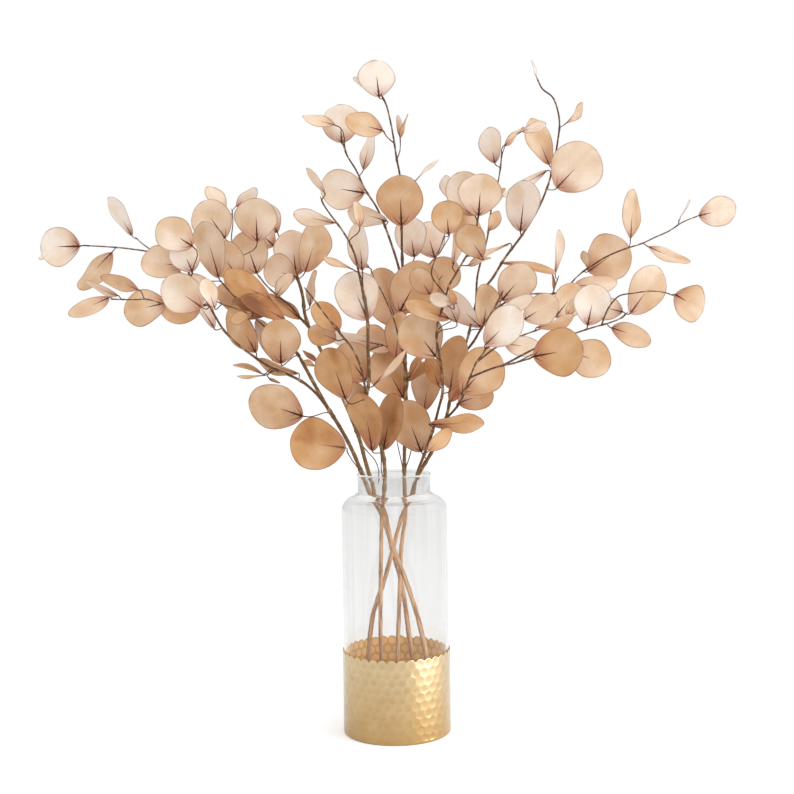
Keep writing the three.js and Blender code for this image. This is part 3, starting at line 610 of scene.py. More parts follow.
def leaf_marks(leaf):
    """Marks round a blade's edge and inside it, and along its stalk, with the gap to keep."""
    edge = np.arange(EDGE_MARKS) / (EDGE_MARKS - 1)
    inner = np.arange(1, INNER_MARKS + 1) / (INNER_MARKS + 1)
    back = edge[-2:0:-1]
    part = np.concatenate([edge, back, inner])
    side = np.concatenate([np.ones_like(edge), -np.ones_like(back), np.resize((0.5, -0.5), INNER_MARKS)])
    stalk = leaf.root + (leaf.base - leaf.root) * np.array([[0.25], [0.5], [0.75]])
    points = np.concatenate([blade_points(leaf, part, side), stalk])
    row = np.repeat([0, 1], [len(part), len(stalk)])
    return SimpleNamespace(points=points, gap=np.full(len(points), LEAF_GAP), row=row)


def twig_marks(twigs):
    """Marks evenly along all twigs, with the gap to keep."""
    places = [place_on(twig, np.linspace(0, twig.at[-1], math.ceil(twig.at[-1] / TWIG_MARK_STEP) + 1))
              for twig in twigs]
    row = np.repeat(np.arange(len(places)), [len(place) for place in places])
    x, z, depth, radius = np.concatenate(places).T
    return SimpleNamespace(points=seen(x, z, depth), gap=radius + TWIG_GAP, row=row)


def hits(leaf, points, gap, row):
    """Which marks come too close to a blade, or lie on its other side than the mark before."""
    away = points - leaf.base
    part = (away * leaf.along).sum(-1) / leaf.length
    out = (away * leaf.across).sum(-1)
    inside = np.clip(part, 0.01, 0.99)
    half = half_width(leaf, inside)
    near = (part > -END_GAP) & (part < 1 + END_GAP) & (abs(out) < half + EDGE_GAP)
    over = (away * leaf.normal).sum(-1) - rise(leaf, inside, np.clip(out / half, -1, 1))
    over = np.where(near, over, 0)
    close = near & (abs(over) < gap)
    close[..., 1:] |= (over[..., 1:] * over[..., :-1] < 0) & (row[1:] == row[:-1])
    return close


def crossings(leaf, marks, placed, twigs):
    """How many marks a leaf has in the way of the leaves placed before it and of the twigs."""
    middle = blade_points(leaf, np.array(0.5), 0)
    count = 0
    if placed:
        far = np.linalg.norm(placed.middle[:, 0] - middle, axis=-1)
        near = (far <= leaf.length + placed.length[:, 0])[:, None]
        count += (near & hits(placed, marks.points, marks.gap, marks.row)).sum()
        count += (near & hits(leaf, placed.marks[:, 0], marks.gap, marks.row)).sum()
    beside = np.linalg.norm(twigs.points - middle, axis=-1) < leaf.length
    beside &= np.linalg.norm(twigs.points - leaf.base, axis=-1) > OWN_REACH
    return count + hits(leaf, twigs.points[beside], twigs.gap[beside], twigs.row[beside]).sum()


def lay_out():
    """The bunch: each leaf in turn steps aside no more than it must to be clear of all else."""
    stems = {}
    for stem, rows in STEMS.items():
        twigs = {}
        for name, carrier, thick, tip_depth, given, shown in rows:
            twigs[name] = twig_of(twigs.get(carrier), thick, tip_depth, given, shown)
            if carrier:
                twigs[carrier].knots.append(nearest_on(twigs[carrier], *given[0][:2])[1])
        stems[stem] = SimpleNamespace(twigs=list(twigs.values()), leaves=[])
    twigs = twig_marks([twig for stem in stems.values() for twig in stem.twigs])
    ways = sorted(((aside, lean) for lean in LEANS for aside in STEPS_ASIDE),
                  key=lambda way: abs(way[0]) + LEAN_COST * abs(way[1]))
    placed = []
    for stem in stems.values():
        for twig in stem.twigs:
            for shown in twig.shown:
                number = len(placed)
                others = together(placed) if placed else None
                first = -1 if draw(FIRST_HAND + number) < 0.5 else 1
                least = math.inf
                for aside, lean, hand in ((*way, hand) for way in ways for hand in (first, -first)):
                    leaf = leaf_of(shown, number, twig, aside, lean, hand)
                    marks = leaf_marks(leaf)
                    count = crossings(leaf, marks, others, twigs)
                    if count < least:
                        least, best, best_marks = count, leaf, marks
                    if count == 0:
                        break
                best.marks = best_marks.points
                best.middle = blade_points(best, np.array(0.5), 0)
                placed.append(best)
                stem.leaves.append(best)
                off, distance = nearest_on(twig, *shown[:2])
                twig.knots.append(distance - STALK_BACK - off / 2)
    return stems


def linear(colour):
    """An sRGB hex colour as linear red, green, blue and a full alpha."""
    parts = [int(colour[i:i + 2], 16) / 255 for i in (1, 3, 5)]
    return (*(c / 12.92 if c <= 0.04045 else ((c + 0.055) / 1.055) ** 2.4 for c in parts), 1)


def add(tree, kind, inputs=(), output=None, stops=(), **settings):
    """Adds a shader node with its settings and the colours of its ramp. Its inputs are values or
    links, by name or in the order in which the node shows them: a Map Range takes its value, the
    two ends that it runs between and the two ends that they become. Gives the node's first output
    or the one that is named."""
    node = tree.nodes.new("ShaderNode" + kind)
    for key, value in settings.items():
        setattr(node, key, value)
    for _ in stops[2:]:
        node.color_ramp.elements.new(0.5)
    for i, (place, colour) in enumerate(stops):
        node.color_ramp.elements[i].position = place
        node.color_ramp.elements[i].color = linear(colour)
    if not isinstance(inputs, dict):
        shown = [i for i, socket in enumerate(node.inputs) if socket.enabled]
        inputs = dict(zip(shown, inputs))
    for key, value in inputs.items():
        if isinstance(value, bpy.types.NodeSocket):
            tree.links.new(value, node.inputs[key])
        else:
            node.inputs[key].default_value = value
    if output:
        return node.outputs[output]
    return next((socket for socket in node.outputs if socket.enabled), None)


def new_material(name):
    """A material and its empty tree."""
    material = bpy.data.materials.new(name)
    material.use_nodes = True
    material.node_tree.nodes.clear()
    return material, material.node_tree


def leaf_material():
    """Eucalyptus leaf, dried and bleached: leathery and matte, clouded from cream to ochre, with a
    blush at its base and side veins so faint that they only break up its shine. A thin dark brink along
    its edge is painted shade, and one half is painted lighter than the other, as light falls on a fold."""
    material, tree = new_material("dried_leaf_skin")
    tone, along, edge, number = (
        add(tree, "Attribute", output="Fac", attribute_name=name)
        for name in ("tone", "along", "edge_mm", "number")
    )
    flat = add(tree, "UVMap", uv_map="blade_mm")
    across, up = (add(tree, "SeparateXYZ", [flat], axis) for axis in "XY")
    # Each leaf takes its pattern from a layer of its own, 70 mm from the next leaf's
    layer = add(tree, "Math", [number, 70.0], operation="MULTIPLY")
    place = add(tree, "CombineXYZ", [across, up, layer])
    # Clouds about 26 mm across, and a mottle of 4 mm
    cloud = add(tree, "TexNoise", {"Vector": place, "Scale": 1 / 26, "Detail": 1.5})
    mottle = add(tree, "TexNoise", {"Vector": place, "Scale": 1 / 4, "Detail": 3.0})
    # Side veins leave the midrib at 45 degrees, 9 mm apart, and wander with the clouds
    out = add(tree, "Math", [across], operation="ABSOLUTE")
    climb = add(tree, "Math", [up, out], operation="SUBTRACT")
    climb = add(tree, "Math", [cloud, 14.0, climb], operation="MULTIPLY_ADD")
    comb = add(tree, "Math", [climb, 4.5], operation="PINGPONG")
    vein = add(tree, "MapRange", [comb, 0.0, 1.4, 1.0, 0.0], interpolation_type="SMOOTHSTEP")

    shade = tone
    for pattern, strength in ((cloud, 0.65), (mottle, 0.1)):
        swing = add(tree, "Math", [pattern, 0.5], operation="SUBTRACT")
        shade = add(tree, "Math", [swing, strength, shade], operation="MULTIPLY_ADD")
    # Painted light and shade of a fold along the midrib: one half of a leaf is lighter than the other,
    # and they meet within 4 mm of the midrib
    half = add(tree, "MapRange", [across, -4.0, 4.0, -1.0, 1.0], interpolation_type="SMOOTHSTEP")
    share = add(tree, "TexWhiteNoise", [number], noise_dimensions="1D")
    share = add(tree, "Math", [share, 0.16, -0.08], operation="MULTIPLY_ADD")
    shade = add(tree, "Math", [half, share, shade], operation="MULTIPLY_ADD")
    colour = add(tree, "ValToRGB", [shade], stops=LEAF_TONES)
    # The blush fades out by 0.42 of the length, and the brink, a painted shade along the edge, from
    # 0.5 to 1.9 mm within the edge
    blush = add(tree, "MapRange", [along, 0.42, 0.0, 0.0, 1.3], interpolation_type="SMOOTHSTEP")
    blush = add(tree, "Math", [blush, cloud], operation="MULTIPLY")
    faint = add(tree, "Math", [vein, 0.05], operation="MULTIPLY")
    brink = add(tree, "MapRange", [edge, 1.9, 0.5, 0.0, 0.6])
    brink = add(tree, "Math", [brink, mottle, brink], operation="MULTIPLY_ADD")
    brink = add(tree, "Math", [brink, 0.62], operation="MULTIPLY")
    for strength, tint in ((blush, "#b9735a"), (faint, "#a06a48"), (brink, "#8f5c40")):
        colour = add(tree, "Mix", [strength, colour, linear(tint)], data_type="RGBA")

    ridge = add(tree, "Math", [vein, mottle], operation="ADD")
    bump = add(tree, "Bump", {"Height": ridge, "Strength": 0.2, "Distance": 0.2 * MM})
    add(tree, "OutputMaterial", {"Surface": add(tree, "BsdfPrincipled", {
        "Base Color": colour, "Normal": bump, "Roughness": 0.62, "Specular IOR Level": 0.3,
    })})
    return material


def rib_material():
    """Stalk and ribs: woody brown at the twig, dark red-brown in the blade, paler at their ends,
    and on some leaves hardly darker than the blade."""
    material, tree = new_material("leaf_stalk_and_rib")
    along, pale = (add(tree, "Attribute", output="Fac", attribute_name=name)
                   for name in ("along", "pale"))
    place = add(tree, "TexCoord", output="Object")
    # The colours shift along the rib in clouds about 5 mm across
    cloud = add(tree, "TexNoise", {"Vector": place, "Scale": 1 / (5 * MM), "Detail": 2.0})
    shade = add(tree, "Math", [cloud, 0.5], operation="SUBTRACT")
    shade = add(tree, "Math", [shade, 0.3, along], operation="MULTIPLY_ADD")
    colour = add(tree, "ValToRGB", [shade], stops=(
        (0.0, "#5e4436"), (0.3, "#542f22"), (0.5, "#4a1d11"), (0.8, "#5c2718"), (1.0, "#8d5233"),
    ))
    colour = add(tree, "Mix", [pale, colour, linear("#bd8c6d")], data_type="RGBA")
    add(tree, "OutputMaterial", {"Surface": add(tree, "BsdfPrincipled", {
        "Base Color": colour, "Roughness": 0.6, "Specular IOR Level": 0.25,
    })})
    return material


def bark_material():
    """Twig bark: thin twigs dark and smooth, thick ones olive and furrowed, all with brown streaks and
    worn patches, and tan in the vase, where the paler colour is painted light that stands for the glass's
    whitening reflection."""
    material, tree = new_material("twig_bark")
    thick = add(tree, "Attribute", output="Fac", attribute_name="thick_mm")
    place = add(tree, "UVMap", uv_map="bark_mm")
    # Furrows 2 mm wide and about twelve times as long, and worn patches about 9 mm across
    long = add(tree, "Mapping", {"Vector": place, "Scale": (1.0, 0.08, 1.0)})
    furrow = add(tree, "TexNoise", {"Vector": long, "Scale": 1 / 2, "Detail": 3.0})
    patch = add(tree, "TexNoise", {"Vector": place, "Scale": 1 / 9, "Detail": 3.0})
    # A twig 6 mm thick has the last of the ramp's colours
    width = add(tree, "Math", [thick, 6.0], operation="DIVIDE")
    colour = add(tree, "ValToRGB", [width], stops=(
        (0.2, "#3d241b"), (0.4, "#533524"), (0.65, "#6f5836"), (1.0, "#8c774a"),
    ))
    height = add(tree, "SeparateXYZ", [add(tree, "TexCoord", output="Object")], "Z")
    # Painted light: below the neck the bark turns a pale tan, for the whitening that the glass's
    # reflection lays over it
    low = add(tree, "MapRange", [height, PALE_BARK_TOP * MM, PALE_BARK_FULL * MM, 0.0, 1.0])
    streak = add(tree, "MapRange", [furrow, 0.47, 0.58, 0.0, 0.7])
    worn = add(tree, "MapRange", [patch, 0.52, 0.68, 0.0, 0.7])
    for strength, tint in ((low, "#eab888"), (streak, "#84502f"), (worn, "#cba97c")):
        colour = add(tree, "Mix", [strength, colour, linear(tint)], data_type="RGBA")
    bump = add(tree, "Bump", {"Height": furrow, "Strength": 0.6, "Distance": 0.5 * MM})
    add(tree, "OutputMaterial", {"Surface": add(tree, "BsdfPrincipled", {
        "Base Color": colour, "Normal": bump, "Roughness": 0.65,
    })})
    return material


def glass_material():
    """Clear soda-lime glass, blown in a mould: faint upright ripples bend its reflections. Lamps
    shine through it, as through real glass, so that the stems and the cup inside are lit."""
    material, tree = new_material("clear_glass")
    place = add(tree, "TexCoord", output="Object")
    upright = add(tree, "Mapping", {"Vector": place, "Scale": (1.0, 1.0, 0.04)})
    # Ripples about 9 mm wide
    ripple = add(tree, "TexNoise", {"Vector": upright, "Scale": 1 / (9 * MM), "Detail": 1.0})
    bump = add(tree, "Bump", {"Height": ripple, "Strength": 0.25, "Distance": 0.4 * MM})
    # Painted highlights: the tint is lighter along the ripples, standing for upright streaks of light on
    # the glass
    streak = add(tree, "MapRange", [ripple, 0.35, 0.65, 0.0, 1.0])
    colour = add(tree, "Mix", [streak, linear("#f7f7f6"), linear("#fdfdfd")], data_type="RGBA")
    glass = add(tree, "BsdfPrincipled", {
        "Base Color": colour, "Normal": bump, "Roughness": 0.0, "IOR": 1.5,
        "Transmission Weight": 1.0, "Specular IOR Level": 0.3,
    })
    # Painted light: a ray caught between the two faces of the wall for more than a few turns meets a
    # pale grey glow, which stands for the light that gets out again where a blown wall is uneven
    turns = add(tree, "LightPath", output="Ray Depth")
    caught = add(tree, "Math", [turns, WALL_TURNS], operation="GREATER_THAN")
    painted_wall_glow = add(tree, "Emission", {"Color": linear("#e6e5e2")})
    glass = add(tree, "MixShader", [caught, glass, painted_wall_glow])
    lamp_ray = add(tree, "LightPath", output="Is Shadow Ray")
    clear = add(tree, "BsdfTransparent", {"Color": linear("#fdfdfd")})
    # The walls look greyer at the bottle's sides, where the eye looks along them
    grey = add(tree, "VolumeAbsorption", {"Color": linear("#c8cac8"), "Density": 12.0})
    add(tree, "OutputMaterial", {
        "Surface": add(tree, "MixShader", [lamp_ray, glass, clear]), "Volume": grey,
    })
    return material


def gold_material():
    """Thin brass sheet, hammered, left satin and lacquered: pale gold, deeper in the dishes, with a grain
    under a clear coat that catches white light. A painted sheen makes it paler higher up and deeper
    towards the foot."""
    material, tree = new_material("hammered_brass_sheet")
    place = add(tree, "TexCoord", output="Object")
    dish = add(tree, "Attribute", output="Fac", attribute_name="dish")
    # Clouds about 14 mm across. The real grain is too fine to show, so it is drawn 1 mm coarse
    cloud = add(tree, "TexNoise", {"Vector": place, "Scale": 1 / (14 * MM), "Detail": 3.0})
    grain = add(tree, "TexNoise", {"Vector": place, "Scale": 1 / MM, "Detail": 2.0})
    # Painted sheen: the gold is paler higher up and deepens over the lowest 100 mm
    height = add(tree, "SeparateXYZ", [place], "Z")
    low = add(tree, "MapRange", [height, 100 * MM, 0.0, 0.0, 0.8])
    low = add(tree, "Math", [cloud, 0.6, low], operation="MULTIPLY_ADD")
    colour = add(tree, "Mix", [low, linear("#dfcca4"), linear("#bf9c62")], data_type="RGBA")
    dull = add(tree, "Math", [dish, 0.26], operation="MULTIPLY")
    colour = add(tree, "Mix", [dull, colour, linear("#b48d5c")], data_type="RGBA")
    rough = add(tree, "Math", [cloud, 0.18, 0.24], operation="MULTIPLY_ADD")
    bump = add(tree, "Bump", {"Height": grain, "Strength": 0.2, "Distance": 0.1 * MM})
    add(tree, "OutputMaterial", {"Surface": add(tree, "BsdfPrincipled", {
        "Base Color": colour, "Normal": bump, "Roughness": rough, "Metallic": 1.0,
        "Coat Weight": 1.0, "Coat Roughness": 0.1,
    })})
    return material


def gold_inside_material():
    """Inside of the sheet, painted with brass powder: matter than the outside, and darker along
    the edges of its cells. A little amber glow stands for the light that a real cup's polished
    walls throw to each other through the bottle."""
    material, tree = new_material("brass_powder_paint")
    place = add(tree, "TexCoord", output="Object")
    # Clouds about 9 mm across
    cloud = add(tree, "TexNoise", {"Vector": place, "Scale": 1 / (9 * MM), "Detail": 3.0})
    colour = add(tree, "Mix", [cloud, linear("#ffd88c"), linear("#e9a548")], data_type="RGBA")
    dish = add(tree, "Attribute", output="Fac", attribute_name="dish")
    line = add(tree, "MapRange", [dish, 0.7, 0.1, 0.0, 0.5])
    colour = add(tree, "Mix", [line, colour, linear("#8f5a1e")], data_type="RGBA")
    add(tree, "OutputMaterial", {"Surface": add(tree, "BsdfPrincipled", {
        "Base Color": colour, "Roughness": 0.4, "Specular IOR Level": 0.3,
        "Emission Color": colour, "Emission Strength": 0.18,
    })})
    return material


def floor_material():
    """White studio paper, matte, with the least mottle. The camera sees it a little brighter than
    it lights the object, so that it runs into the white of the room."""
    material, tree = new_material("white_paper")
    place = add(tree, "TexCoord", output="Object")
    # Paper's fibres are too fine to show, so the mottle is drawn 25 mm across
    mottle = add(tree, "TexNoise", {"Vector": place, "Scale": 1 / (25 * MM), "Detail": 2.0})
    colour = add(tree, "Mix", [mottle, linear("#fbfbfb"), linear("#f6f6f6")], data_type="RGBA")
    straight = add(tree, "LightPath", output="Is Camera Ray")
    glow = add(tree, "Math", [straight, FLOOR_GLOW], operation="MULTIPLY")
    add(tree, "OutputMaterial", {"Surface": add(tree, "BsdfPrincipled", {
        "Base Color": colour, "Roughness": 0.9, "Specular IOR Level": 0.1,
        "Emission Color": linear("#ffffff"), "Emission Strength": glow,
    })})
    return material


def between(here, there):
    """Faces between closed rings of point numbers and the rings beside them."""
    ahead, beyond = (np.roll(rings, -1, axis=-1) for rings in (here, there))
    return np.stack([here, ahead, beyond, there], axis=-1).reshape(-1, 4)


def skins(rings):
    """Closed skins over rings of points (skin, ring, point, xyz): all points, and faces between
    neighbouring rings with a cap on the first and the last ring. A skin's points follow each other."""
    number = np.arange(rings[..., 0].size).reshape(rings.shape[:3])
    caps = np.concatenate([number[:, 0, ::-1], number[:, -1]])
    return rings.reshape(-1, 3), between(number[:, :-1], number[:, 1:]).tolist() + caps.tolist()


def joined(parts):
    """Skins as one: their points follow each other, and each one's faces count on from the last."""
    joined_faces = []
    start = 0
    for points, faces in parts:
        joined_faces += [[corner + start for corner in face] for face in faces]
        start += len(points)
    return np.concatenate([points for points, _ in parts]), joined_faces


def frames_along(paths, reference):
    """Two directions square to each path: a reference without its part along the path, and the
    cross product with the path's heading."""
    heading = unit(np.gradient(paths, axis=-2))
    up = unit(reference - heading * (reference * heading).sum(-1, keepdims=True))
    return up, np.cross(heading, up)


def tubes(paths, radii, sides, reference):
    """Round tubes: each ring is a circle round its path's point in the two square directions."""
    up, side = frames_along(paths, reference)
    angle = np.linspace(0, 2 * np.pi, sides, endpoint=False)[:, None]
    circle = up[..., None, :] * np.cos(angle) + side[..., None, :] * np.sin(angle)
    return paths[..., None, :] + circle * radii[..., None, None]


def put(name, data):
    """An object in the scene, at the origin."""
    placed = bpy.data.objects.new(name, data)
    bpy.context.scene.collection.objects.link(placed)
    return placed


def dress(name, points, faces, material, slot, node, smooth_deg=50, uv=None, **numbers):
    """Makes a piece from points in millimetres, kept inside the solids' box, and faces, with its
    numbers at each point, and puts it in the place of its solid."""
    mesh = bpy.data.meshes.new(name)
    mesh.from_pydata(np.clip(np.asarray(points) * MM, *cad_box), [], faces)
    for key, values in numbers.items():
        layer = mesh.attributes.new(key, "FLOAT", "POINT")
        layer.data.foreach_set("value", np.asarray(values, np.float32).ravel())
    if uv:
        key, places = uv
        corner = np.empty(len(mesh.loops), np.int32)
        mesh.loops.foreach_get("vertex_index", corner)
        layer = mesh.uv_layers.new(name=key)
        layer.data.foreach_set("uv", np.asarray(places, np.float32)[corner].ravel())
    mesh.shade_smooth()
    mesh.set_sharp_from_angle(angle=math.radians(smooth_deg))
    mesh.materials.append(material)
    piece = put(name, mesh)
    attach(piece, "root")
    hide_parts(node)
    return piece


def make_blades(name, leaves, material, node):
    """Blades: a grid along, whose rows stand closer at both ends by a cosine, and across, over and
    under a middle layer. The edge curls by a sine, the more the nearer it is, and the outline
    wavers a little."""
    leaf = together(leaves)
    along = 0.5 - 0.5 * np.cos(np.pi * np.linspace(*BLADE_SPAN, BLADE_ROWS))
    half_ring = np.sin(np.linspace(-np.pi / 2, np.pi / 2, BLADE_COLUMNS))
    side = np.concatenate([half_ring, half_ring[::-1]])
    part, side = (a.ravel()[None] for a in np.meshgrid(along, side, indexing="ij"))
    over = np.tile(np.repeat([-1, 1], BLADE_COLUMNS), BLADE_ROWS)[None]
    phase = 2 * np.pi * draw(leaf.number + 0.5)
    waver = 1 + EDGE_WAVER * np.sin(7 * part + phase + 2 * np.sign(side)) * abs(side)
    curl = EDGE_CURL * (draw(leaf.number + 0.7) - 0.4) * abs(side) ** 4 * np.sin(5 * part + phase + side)
    thin = BLADE_THICK / 2 * (1 - 0.4 * abs(side) ** 3)
    points = blade_points(leaf, part, side, curl + over * thin, waver)
    points, faces = skins(points.reshape(len(leaves), BLADE_ROWS, 2 * BLADE_COLUMNS, 3))
    out = side * half_width(leaf, part)
    edge = np.minimum(half_width(leaf, part) * (1 - abs(side)), (1 - part) * leaf.length)
    along, tone, number = (np.broadcast_to(each, out.shape) for each in (part, leaf.tone, leaf.number))
    dress(
        name, points, faces, material, "dried_leaf", node,
        uv=("blade_mm", np.stack([out, part * leaf.length], axis=-1).reshape(-1, 2)),
        along=along, edge_mm=edge, tone=tone, number=number,
    )


def make_stalks(name, leaves, material, node):
    """Stalks and veins: a cubic curve from twig to blade, then the midrib on the blade's middle
    layer, and side veins that leave it near the base at about 45 degrees and bend forward."""
    leaf = together(leaves)
    reach = np.linalg.norm(leaf.base - leaf.root, axis=-1, keepdims=True)
    t = np.linspace(0, 1, STALK_RINGS)[:, None]
    pull = [leaf.root, leaf.root + leaf.root_heading * reach * STALK_PULL,
            leaf.base - leaf.along * reach * STALK_PULL, leaf.base]
    share = [(1 - t) ** 3, 3 * t * (1 - t) ** 2, 3 * t**2 * (1 - t), t**3]
    stalk = sum(point * part for point, part in zip(pull, share))
    on_rib = np.linspace(0, 1, RIB_RINGS + 1)[1:]
    end = RIB_LEAST + RIB_MORE * draw(leaf.number + 0.3)
    rib = blade_points(leaf, end * on_rib, 0)
    stalk_radius = np.minimum(leaf.root_radius, STALK_RADIUS) * (1 - 0.2 * np.sin(np.pi * t[:, 0]))
    rib_radius = RIB_RADIUS * np.clip(leaf.width / RIB_FULL_WIDTH, 0.4, 1.1)
    radii = np.concatenate([stalk_radius, rib_radius * (1 - 0.9 * on_rib)], axis=1)
    parts = [skins(tubes(np.concatenate([stalk, rib], axis=1), radii, STALK_SIDES, leaf.normal))]
    way = np.concatenate([0.5 * t[:, 0], 0.5 + 0.5 * on_rib])
    along = [np.tile(np.repeat(way, STALK_SIDES), len(leaves))]
    # Some leaves have a rib hardly darker than their blade
    faded = RIB_FADED * (draw(leaf.number + 0.9) < FADED_SHARE) + RIB_PALER * draw(leaf.number + 0.8)
    pale = [np.repeat(faded * np.clip(2 * way - 0.9, 0, 1), STALK_SIDES)]

    s = np.linspace(0, 1, VEIN_RINGS)
    for start, length, thick in VEINS:
        for hand in (-1, 1):
            grown = length * (0.8 + 0.4 * draw(leaf.number + 10 * start + hand))
            part = start + grown * (0.55 * s + 0.25 * s**2)
            out = hand * grown * leaf.length * (0.75 * s - 0.15 * s**2)
            side = out / np.maximum(half_width(leaf, part), 1)
            vein = blade_points(leaf, part, np.clip(side, -0.95, 0.95))
            radii = thick * rib_radius * (1 - 0.82 * s)
            parts.append(skins(tubes(vein, radii, VEIN_SIDES, leaf.normal)))
            along.append(np.tile(np.repeat(0.62 + 0.38 * s, VEIN_SIDES), len(leaves)))
            pale.append(np.repeat(faded, VEIN_RINGS * VEIN_SIDES))
    dress(name, *joined(parts), material, "dried_leaf", node,
          along=np.concatenate(along), pale=np.concatenate(pale))


def smooth_way(points, every):
    """Points every so far along a cubic curve through the given ones: at each, the heading is the
    mean of its neighbours' slopes, and the nearer neighbour counts more."""
    step = np.linalg.norm(np.diff(points[:, :3], axis=0), axis=1)
    slope = np.diff(points, axis=0) / step[:, None]
    inner = (slope[1:] * step[:-1, None] + slope[:-1] * step[1:, None]) / (step[1:] + step[:-1])[:, None]
    heading = np.concatenate([slope[:1], inner, slope[-1:]])
    at = np.append(0, np.cumsum(step))
    want = np.linspace(0, at[-1], max(int(at[-1] / every), 3) + 1)
    i = np.clip(np.searchsorted(at, want, side="right") - 1, 0, len(step) - 1)
    h = step[i][:, None]
    t = (want - at[i])[:, None] / h
    curve = (points[i] * (2 * t**3 - 3 * t**2 + 1) + points[i + 1] * (3 * t**2 - 2 * t**3)
             + heading[i] * h * (t**3 - 2 * t**2 + t) + heading[i + 1] * h * (t**3 - t**2))
    return curve, want


def make_twigs(name, twigs, material, node):
    """Twigs: a round tube on a smooth curve, swollen at each knot by a bell curve, gnarled by a
    sine of 7 mm and one of 20 mm, and blunt at its tip."""
    parts, places, thick = [], [], []
    total = 0
    for twig in twigs:
        x, z, depth, radius = twig.way.T
        curve, at = smooth_way(np.column_stack([seen(x, z, depth), radius]), TWIG_STEP)
        standing = curve[:, 2] > STEM_FOOT
        curve, at = curve[standing], at[standing]
        knots = np.array(twig.knots)[:, None] * at[-1] / twig.at[-1]
        swell = (KNOT_SWELL * np.exp(-(((at - knots) / KNOT_REACH) ** 2))).sum(0)
        gnarl = SHORT_GNARL * np.sin(0.9 * at + 7 * draw(total)) + LONG_GNARL * np.sin(0.31 * at)
        radii = curve[:, 3] * (1 + np.minimum(swell, MOST_SWELL) + gnarl)
        radii[-2:] *= TIP_BLUNT
        parts.append(skins(tubes(curve[None, :, :3], radii[None], TWIG_SIDES, np.array([0.0, 1, 0]))))
        total += len(parts[-1][0])
        around = 2 * np.pi * curve[:, 3:4] * np.arange(TWIG_SIDES) / TWIG_SIDES
        places.append(np.column_stack([around.ravel(), np.repeat(at, TWIG_SIDES)]))
        thick.append(np.repeat(2 * curve[:, 3], TWIG_SIDES))
    dress(name, *joined(parts), material, "dried_leaf", node,
          uv=("bark_mm", np.concatenate(places)), thick_mm=np.concatenate(thick))


def arc(x, y, radius, start, end, steps):
    """Points of a circle's arc in a profile, between two angles in degrees."""
    angle = np.radians(np.linspace(start, end, steps + 1))
    return np.column_stack([x + radius * np.cos(angle), y + radius * np.sin(angle)])


def turned(profile, steps):
    """Rings of a profile of radius and height carried round the axis."""
    angle = np.linspace(0, 2 * np.pi, steps, endpoint=False)
    radius, height = profile.T[..., None]
    return np.stack([radius * np.cos(angle), radius * np.sin(angle), height + 0 * angle], axis=-1)


def make_glass(material):
    """The bottle: one profile carried round, out over the foot, up and over the lip, and down the
    inside to the floor."""
    floor = VASE_FOOT + GLASS_FLOOR
    inside = BODY_RADIUS - GLASS_WALL
    bore = NECK_RADIUS - GLASS_WALL
    centre = BODY_RADIUS - SHOULDER_ROUND
    shoulder = NECK_FOOT - SHOULDER_DROP - SHOULDER_ROUND
    profile = np.concatenate([
        [(POLE, VASE_FOOT)],
        arc(BODY_RADIUS - FOOT_ROUND, VASE_FOOT + FOOT_ROUND, FOOT_ROUND, -90, 0, 6),
        arc(centre, shoulder, SHOULDER_ROUND, 0, SHOULDER_TURN, 12),
        arc(NECK_RADIUS + NECK_ROUND, NECK_FOOT + NECK_ROUND_UP, NECK_ROUND, 180 + SHOULDER_TURN, 180, 6),
        [(NECK_RADIUS, LIP_FOOT), (NECK_RADIUS + 0.3 * LIP_OUT, VASE_TOP - 2 * LIP_ROUND)],
        arc(NECK_RADIUS + LIP_OUT - LIP_ROUND, VASE_TOP - LIP_ROUND, LIP_ROUND, 0, 180, 10),
        [(bore, LIP_FOOT), (bore, BORE_FOOT)],
        arc(centre, shoulder, SHOULDER_ROUND - GLASS_WALL, SHOULDER_TURN, 0, 12),
        arc(inside - FOOT_ROUND, floor + FOOT_ROUND, FOOT_ROUND, 0, -90, 6),
        [(POLE, floor)],
    ])
    points, faces = skins(turned(profile, GLASS_STEPS)[None])
    return dress("glass_bottle", points, faces, material, "clear_glass", "glass_vase", smooth_deg=60)


def cup_cells():
    """The honeycomb: each cell is a six-sided dish, its points drawn out from its middle to its
    edge, deepest in the middle by a parabola and tilted a little by the hammer. Gives each point,
    and its part of the dish, from 0 at the edge to 1 in the middle."""
    corner = np.array([(0, 1), (-1, 0.5), (-1, -0.5), (0, -1), (1, -0.5), (1, 0.5)])
    corner = corner * (HALF_CELL, CELL_SIDE)
    split = np.arange(CELL_SPLIT)[:, None] / CELL_SPLIT
    edge = (corner[:, None] + (np.roll(corner, -1, axis=0) - corner)[:, None] * split).reshape(-1, 2)
    row, cell = (a.ravel()[:, None] for a in np.meshgrid(
        np.arange(CELL_ROWS), np.arange(CELLS_ROUND), indexing="ij"))
    middle_x = (2 * cell + row % 2) * HALF_CELL
    middle_z = FIRST_ROW + row * 1.5 * CELL_SIDE
    edge_x = edge[:, 0] + 0 * middle_x
    edge_z = np.maximum(edge[:, 1], CUP_FOOT_HEIGHT - middle_z)
    # The top row's cells end in rounded scallops
    scallop = CELL_SIDE * (0.5 + 0.5 * np.cos(edge[:, 0] / HALF_CELL * np.pi / 2) ** 0.75)
    edge_z = np.where((row == CELL_ROWS - 1) & (edge[:, 1] > 0), scallop, edge_z)
    q = np.array(CELL_RINGS)[:, None, None]
    x, z = edge_x * q, edge_z * q
    number = row * CELLS_ROUND + cell
    depth = DISH_LEAST + DISH_MORE * draw(number + 0.1)
    tilt_x, tilt_z = (DISH_LEAN * (draw(number + shift) - 0.5) for shift in (0.2, 0.3))
    sunk = depth * (1 - q**2) + (tilt_x * x + tilt_z * z) * (1 - q**4)
    radius = CUP_RADIUS - sunk
    angle = (middle_x + x) / CUP_RADIUS
    points = np.stack([radius * np.cos(angle), radius * np.sin(angle), middle_z + z], axis=-1)
    return points, np.broadcast_to(1 - q**2, radius.shape)


